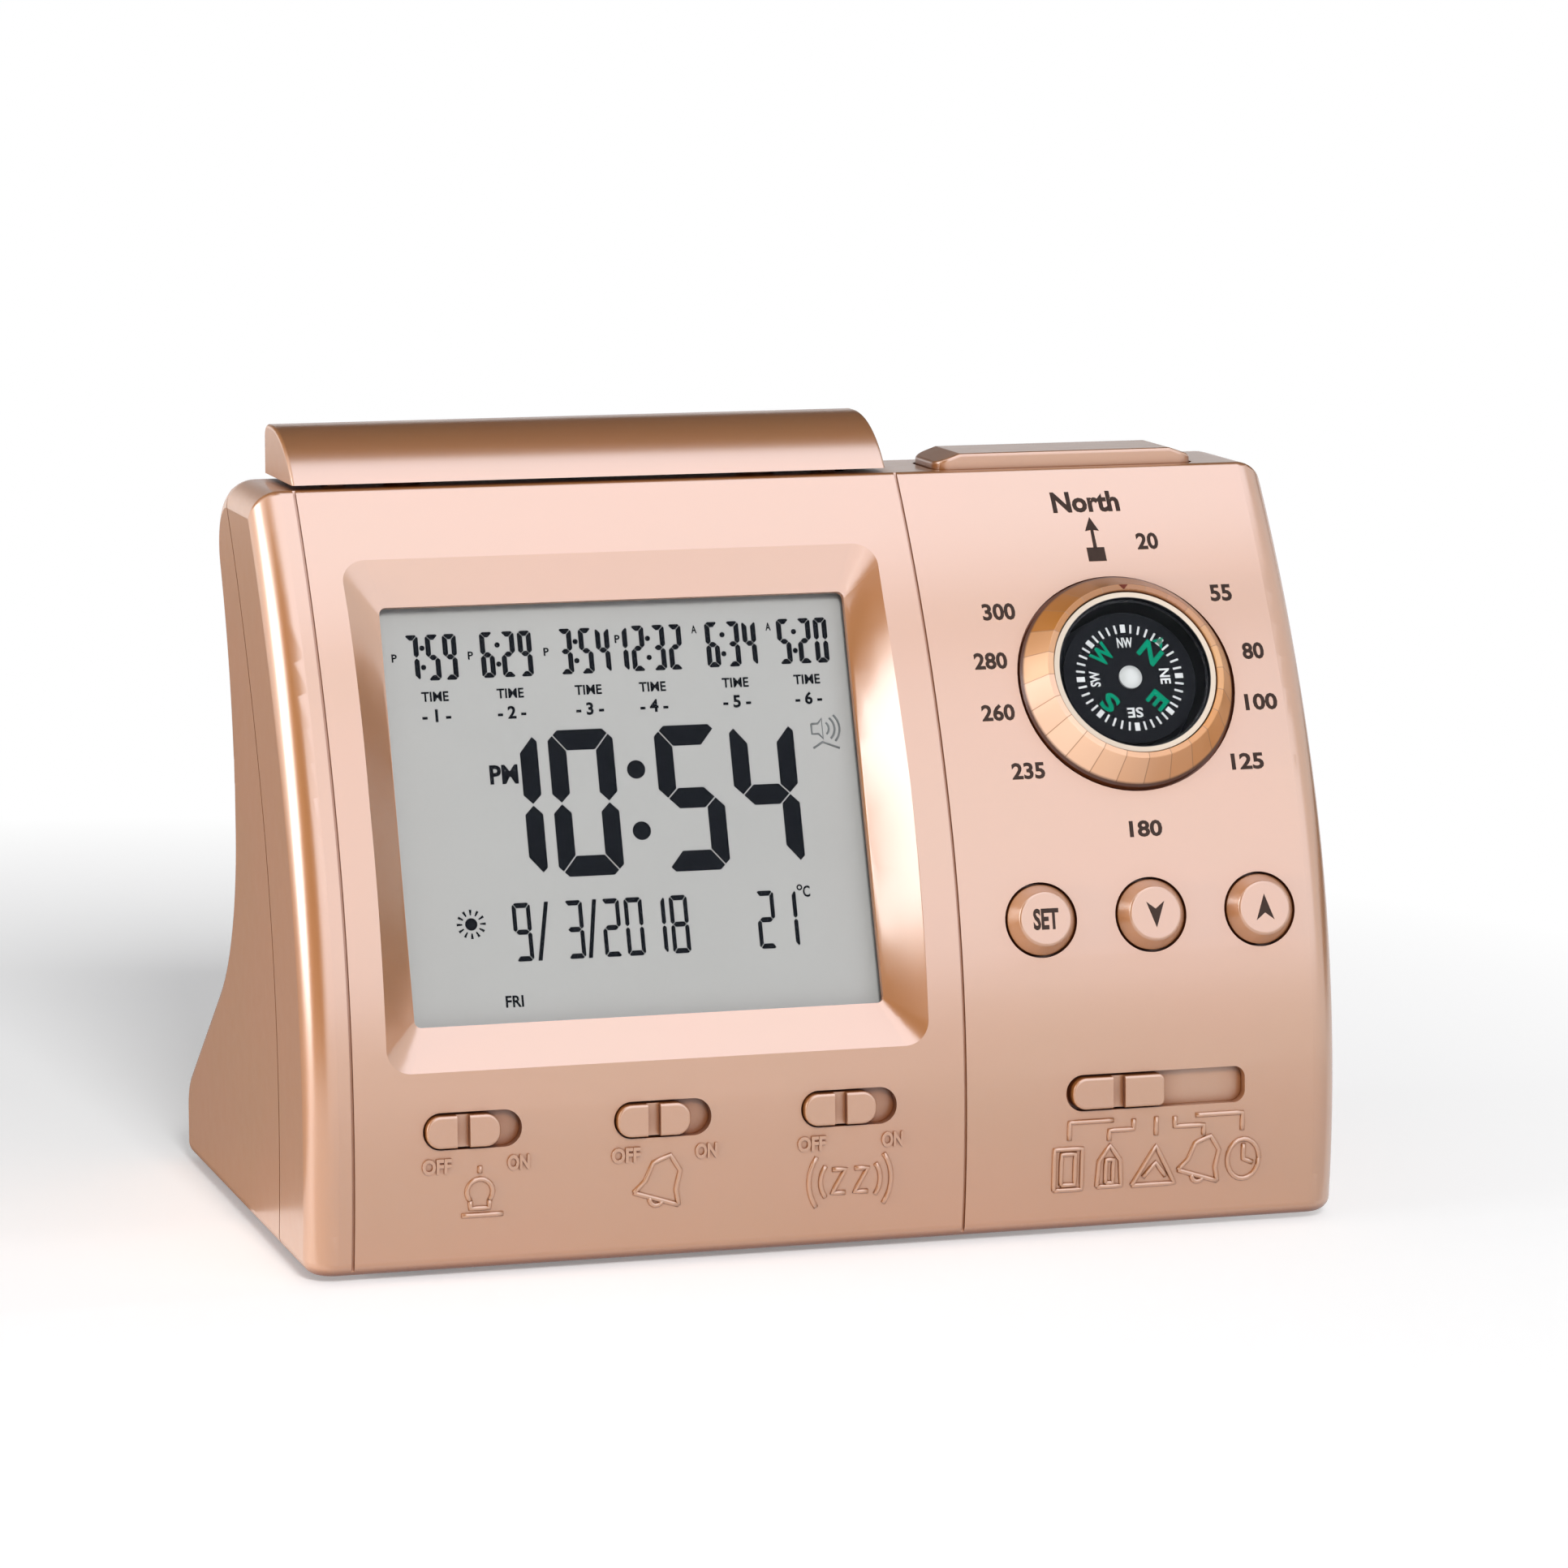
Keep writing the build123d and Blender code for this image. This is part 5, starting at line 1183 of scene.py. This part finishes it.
def add_lamp(name, place, size, power):
    """A soft square lamp aimed at the clock's middle."""
    data = bpy.data.lights.new(name, "AREA")
    data.shape = "RECTANGLE"
    data.size, data.size_y = size
    data.energy = power
    lamp = bpy.data.objects.new(name, data)
    bpy.context.scene.collection.objects.link(lamp)
    aim(lamp, place, LAMP_AIM)
    return lamp


def add_card(name, place, size, outward, paler=1):
    """A dark card that faces outward, which only the clock's reflections see."""
    share = bpy.context.scene.clock_stage.card * paler
    facing = Vector(outward).to_track_quat("Z", "Y").to_matrix().to_4x4()
    bm = bmesh.new()
    bmesh.ops.create_grid(bm, x_segments=1, y_segments=1, size=0.5)
    bmesh.ops.scale(bm, verts=bm.verts, vec=(*size, 1))
    bmesh.ops.transform(bm, matrix=Matrix.Translation(place) @ facing, verts=bm.verts)
    card = add_object(name, bm, Finish(name, (share,) * 3, 0.9))
    card.visible_camera = False
    card.visible_diffuse = False
    card.visible_shadow = False


def white_backdrop_share(tree):
    """1 for rays that show the backdrop: from the camera, a mirror or through a cover."""
    path = new_node(tree, "ShaderNodeLightPath").outputs
    seen = math(tree, "MAXIMUM", path["Is Camera Ray"], path["Is Glossy Ray"])
    return math(tree, "MAXIMUM", seen, path["Is Transmission Ray"])


def white_world(strength):
    """Even light on the clock, and plain white behind it."""
    world = bpy.data.worlds.new("studio")
    world.use_nodes = True
    tree = world.node_tree
    ramp = new_node(tree, "ShaderNodeMapRange", Value=white_backdrop_share(tree), To_Min=strength)
    ground = tree.nodes["Background"]
    ground.inputs["Color"].default_value = (1.0, 1.0, 1.0, 1.0)
    tree.links.new(ramp.outputs["Result"], ground.inputs["Strength"])
    bpy.context.scene.world = world


FLOOR_REACH = 12.0
FLOOR_FADE = (0.12, 0.26)  # shadows show within the first distance and are gone by the second
FLOOR_MIDDLE = (-0.08, 0.05, 0)  # both distances are from here, because the shadow falls this way
FLOOR_LIFT = 0.22  # light that the floor adds, so that shadows stay pale


def blend(tree, kind, *sockets):
    """A node that joins shaders, linked in the order of its inputs."""
    node = new_node(tree, kind)
    for target, source in zip(node.inputs, sockets):
        tree.links.new(source, target)
    return node.outputs["Shader"]


def floor_finish():
    """A pale floor that keeps the clock's shadow near it and is plain white further off."""
    finish = Finish("pale_floor", (0.92, 0.92, 0.92), 0.6)
    length = finish.node("ShaderNodeVectorMath", Vector=finish.place())
    length.operation = "DISTANCE"
    length.inputs[1].default_value = FLOOR_MIDDLE
    far = finish.range(length.outputs["Value"], 0.0, 1.0, *FLOOR_FADE)
    plain = finish.shader.outputs["BSDF"]
    white, lift = (
        finish.node("ShaderNodeEmission", Strength=strength).outputs["Emission"]
        for strength in (1.0, FLOOR_LIFT)
    )
    near = blend(finish.tree, "ShaderNodeAddShader", plain, lift)
    fade = blend(finish.tree, "ShaderNodeMixShader", far, near, white)
    share = white_backdrop_share(finish.tree)
    seen = blend(finish.tree, "ShaderNodeMixShader", share, plain, fade)
    finish.tree.links.new(seen, finish.tree.nodes["Material Output"].inputs["Surface"])
    return finish


LAMPS = (  # name, place, width and height, lights matt surfaces, shows in glossy ones, is tinted
    ("key", (0.35, -1.3, 0.74), (2.0, 1.15), True, True, True),
    ("top", (0.25, -0.38, 1.5), (1.8, 1.1), False, True, True),
    ("shadow", (-0.1, -0.9, 0.54), (0.2, 0.2), True, False, False),
    ("left", (-1.1, 0.13, 0.25), (0.66, 1.0), False, True, False),
    ("side", (-1.0, -0.1, 0.08), (0.5, 0.14), True, False, False),
)
CARDS = (  # name, middle, width and height, the way it faces, and how much paler than the others
    ("back_card", (0.15, 0.5, 1.2), (1.6, 2.0), (0, -1, 0)),
    ("roof_card", (0.4, 0.4, 1.42), (1.2, 0.5), (0, 0, -1)),
    ("floor_card", (-0.25, 0.45, 0.001), (0.5, 0.9), (0, 0, 1), 10),
    ("low_card", (0.02, -0.143, 0.001), (0.36, 0.213), (0, 0, 1), 30),
    ("left_card", (-0.4, -0.17, 0.02), (0.16, 0.08), (1, 0, 0)),
    ("front_card", (-0.53, -0.41, 0.46), (0.56, 0.9), (0.81, 0.59, 0)),
    ("right_card", (0.45, 0.12, 0.0), (0.4, 0.15), (-1, 0, 0)),
)


class CLOCK_OT_stage(Operator):
    """Lay the floor, hang the lamps and set up the camera"""

    bl_idname = "clock.stage"
    bl_label = "Stage"

    def execute(self, context):
        scene = context.scene
        stage = scene.clock_stage
        bm = bmesh.new()
        bmesh.ops.create_grid(bm, x_segments=1, y_segments=1, size=FLOOR_REACH)
        floor = add_object("floor", bm, floor_finish())
        for name, place, size, matt, mirrored, tint in LAMPS:
            lamp = add_lamp(f"{name}_lamp", place, size, getattr(stage, f"{name}_power"))
            lamp.visible_diffuse, lamp.visible_glossy = matt, mirrored
            if tint:
                lamp.data.color = stage.cool
        for card in CARDS:
            add_card(*card)
        white_world(stage.sky)
        data = bpy.data.cameras.new("camera")
        data.sensor_width = SENSOR
        data.lens = CAMERA_LENS
        data.clip_start = 0.01
        camera = bpy.data.objects.new("camera", data)
        scene.collection.objects.link(camera)
        aim(camera, CAMERA_PLACE, CAMERA_AIM)
        scene.camera = camera
        scene.view_settings.view_transform = "Standard"
        return {"FINISHED"}


STEPS = (
    CLOCK_OT_case,
    CLOCK_OT_display,
    CLOCK_OT_compass,
    CLOCK_OT_prints,
    CLOCK_OT_inside,
    CLOCK_OT_stage,
)


class CLOCK_PT_sidebar(Panel):
    """Settings and steps of the prayer clock"""

    bl_label = "Prayer Clock"
    bl_idname = "CLOCK_PT_sidebar"
    bl_space_type = "VIEW_3D"
    bl_region_type = "UI"
    bl_category = "Clock"

    def draw(self, context):
        for title, group in SETTINGS.items():
            box = self.layout.box()
            for setting in group.__annotations__:
                box.prop(getattr(context.scene, title), setting)
        for step in STEPS:
            self.layout.operator(step.bl_idname)


def register():
    """Registers the settings, the steps and the panel."""
    for title, group in SETTINGS.items():
        bpy.utils.register_class(group)
        setattr(bpy.types.Scene, title, PointerProperty(type=group))
    for step in (*STEPS, CLOCK_PT_sidebar):
        bpy.utils.register_class(step)


def unregister():
    """Takes them away again."""
    for step in reversed((*STEPS, CLOCK_PT_sidebar)):
        bpy.utils.unregister_class(step)
    for title, group in SETTINGS.items():
        delattr(bpy.types.Scene, title)
        bpy.utils.unregister_class(group)


def main():
    """Runs every step in order."""
    register()
    for step in STEPS:
        group, name = step.bl_idname.split(".")
        getattr(getattr(bpy.ops, group), name)()
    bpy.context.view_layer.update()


if __name__ == "__main__":
    main()
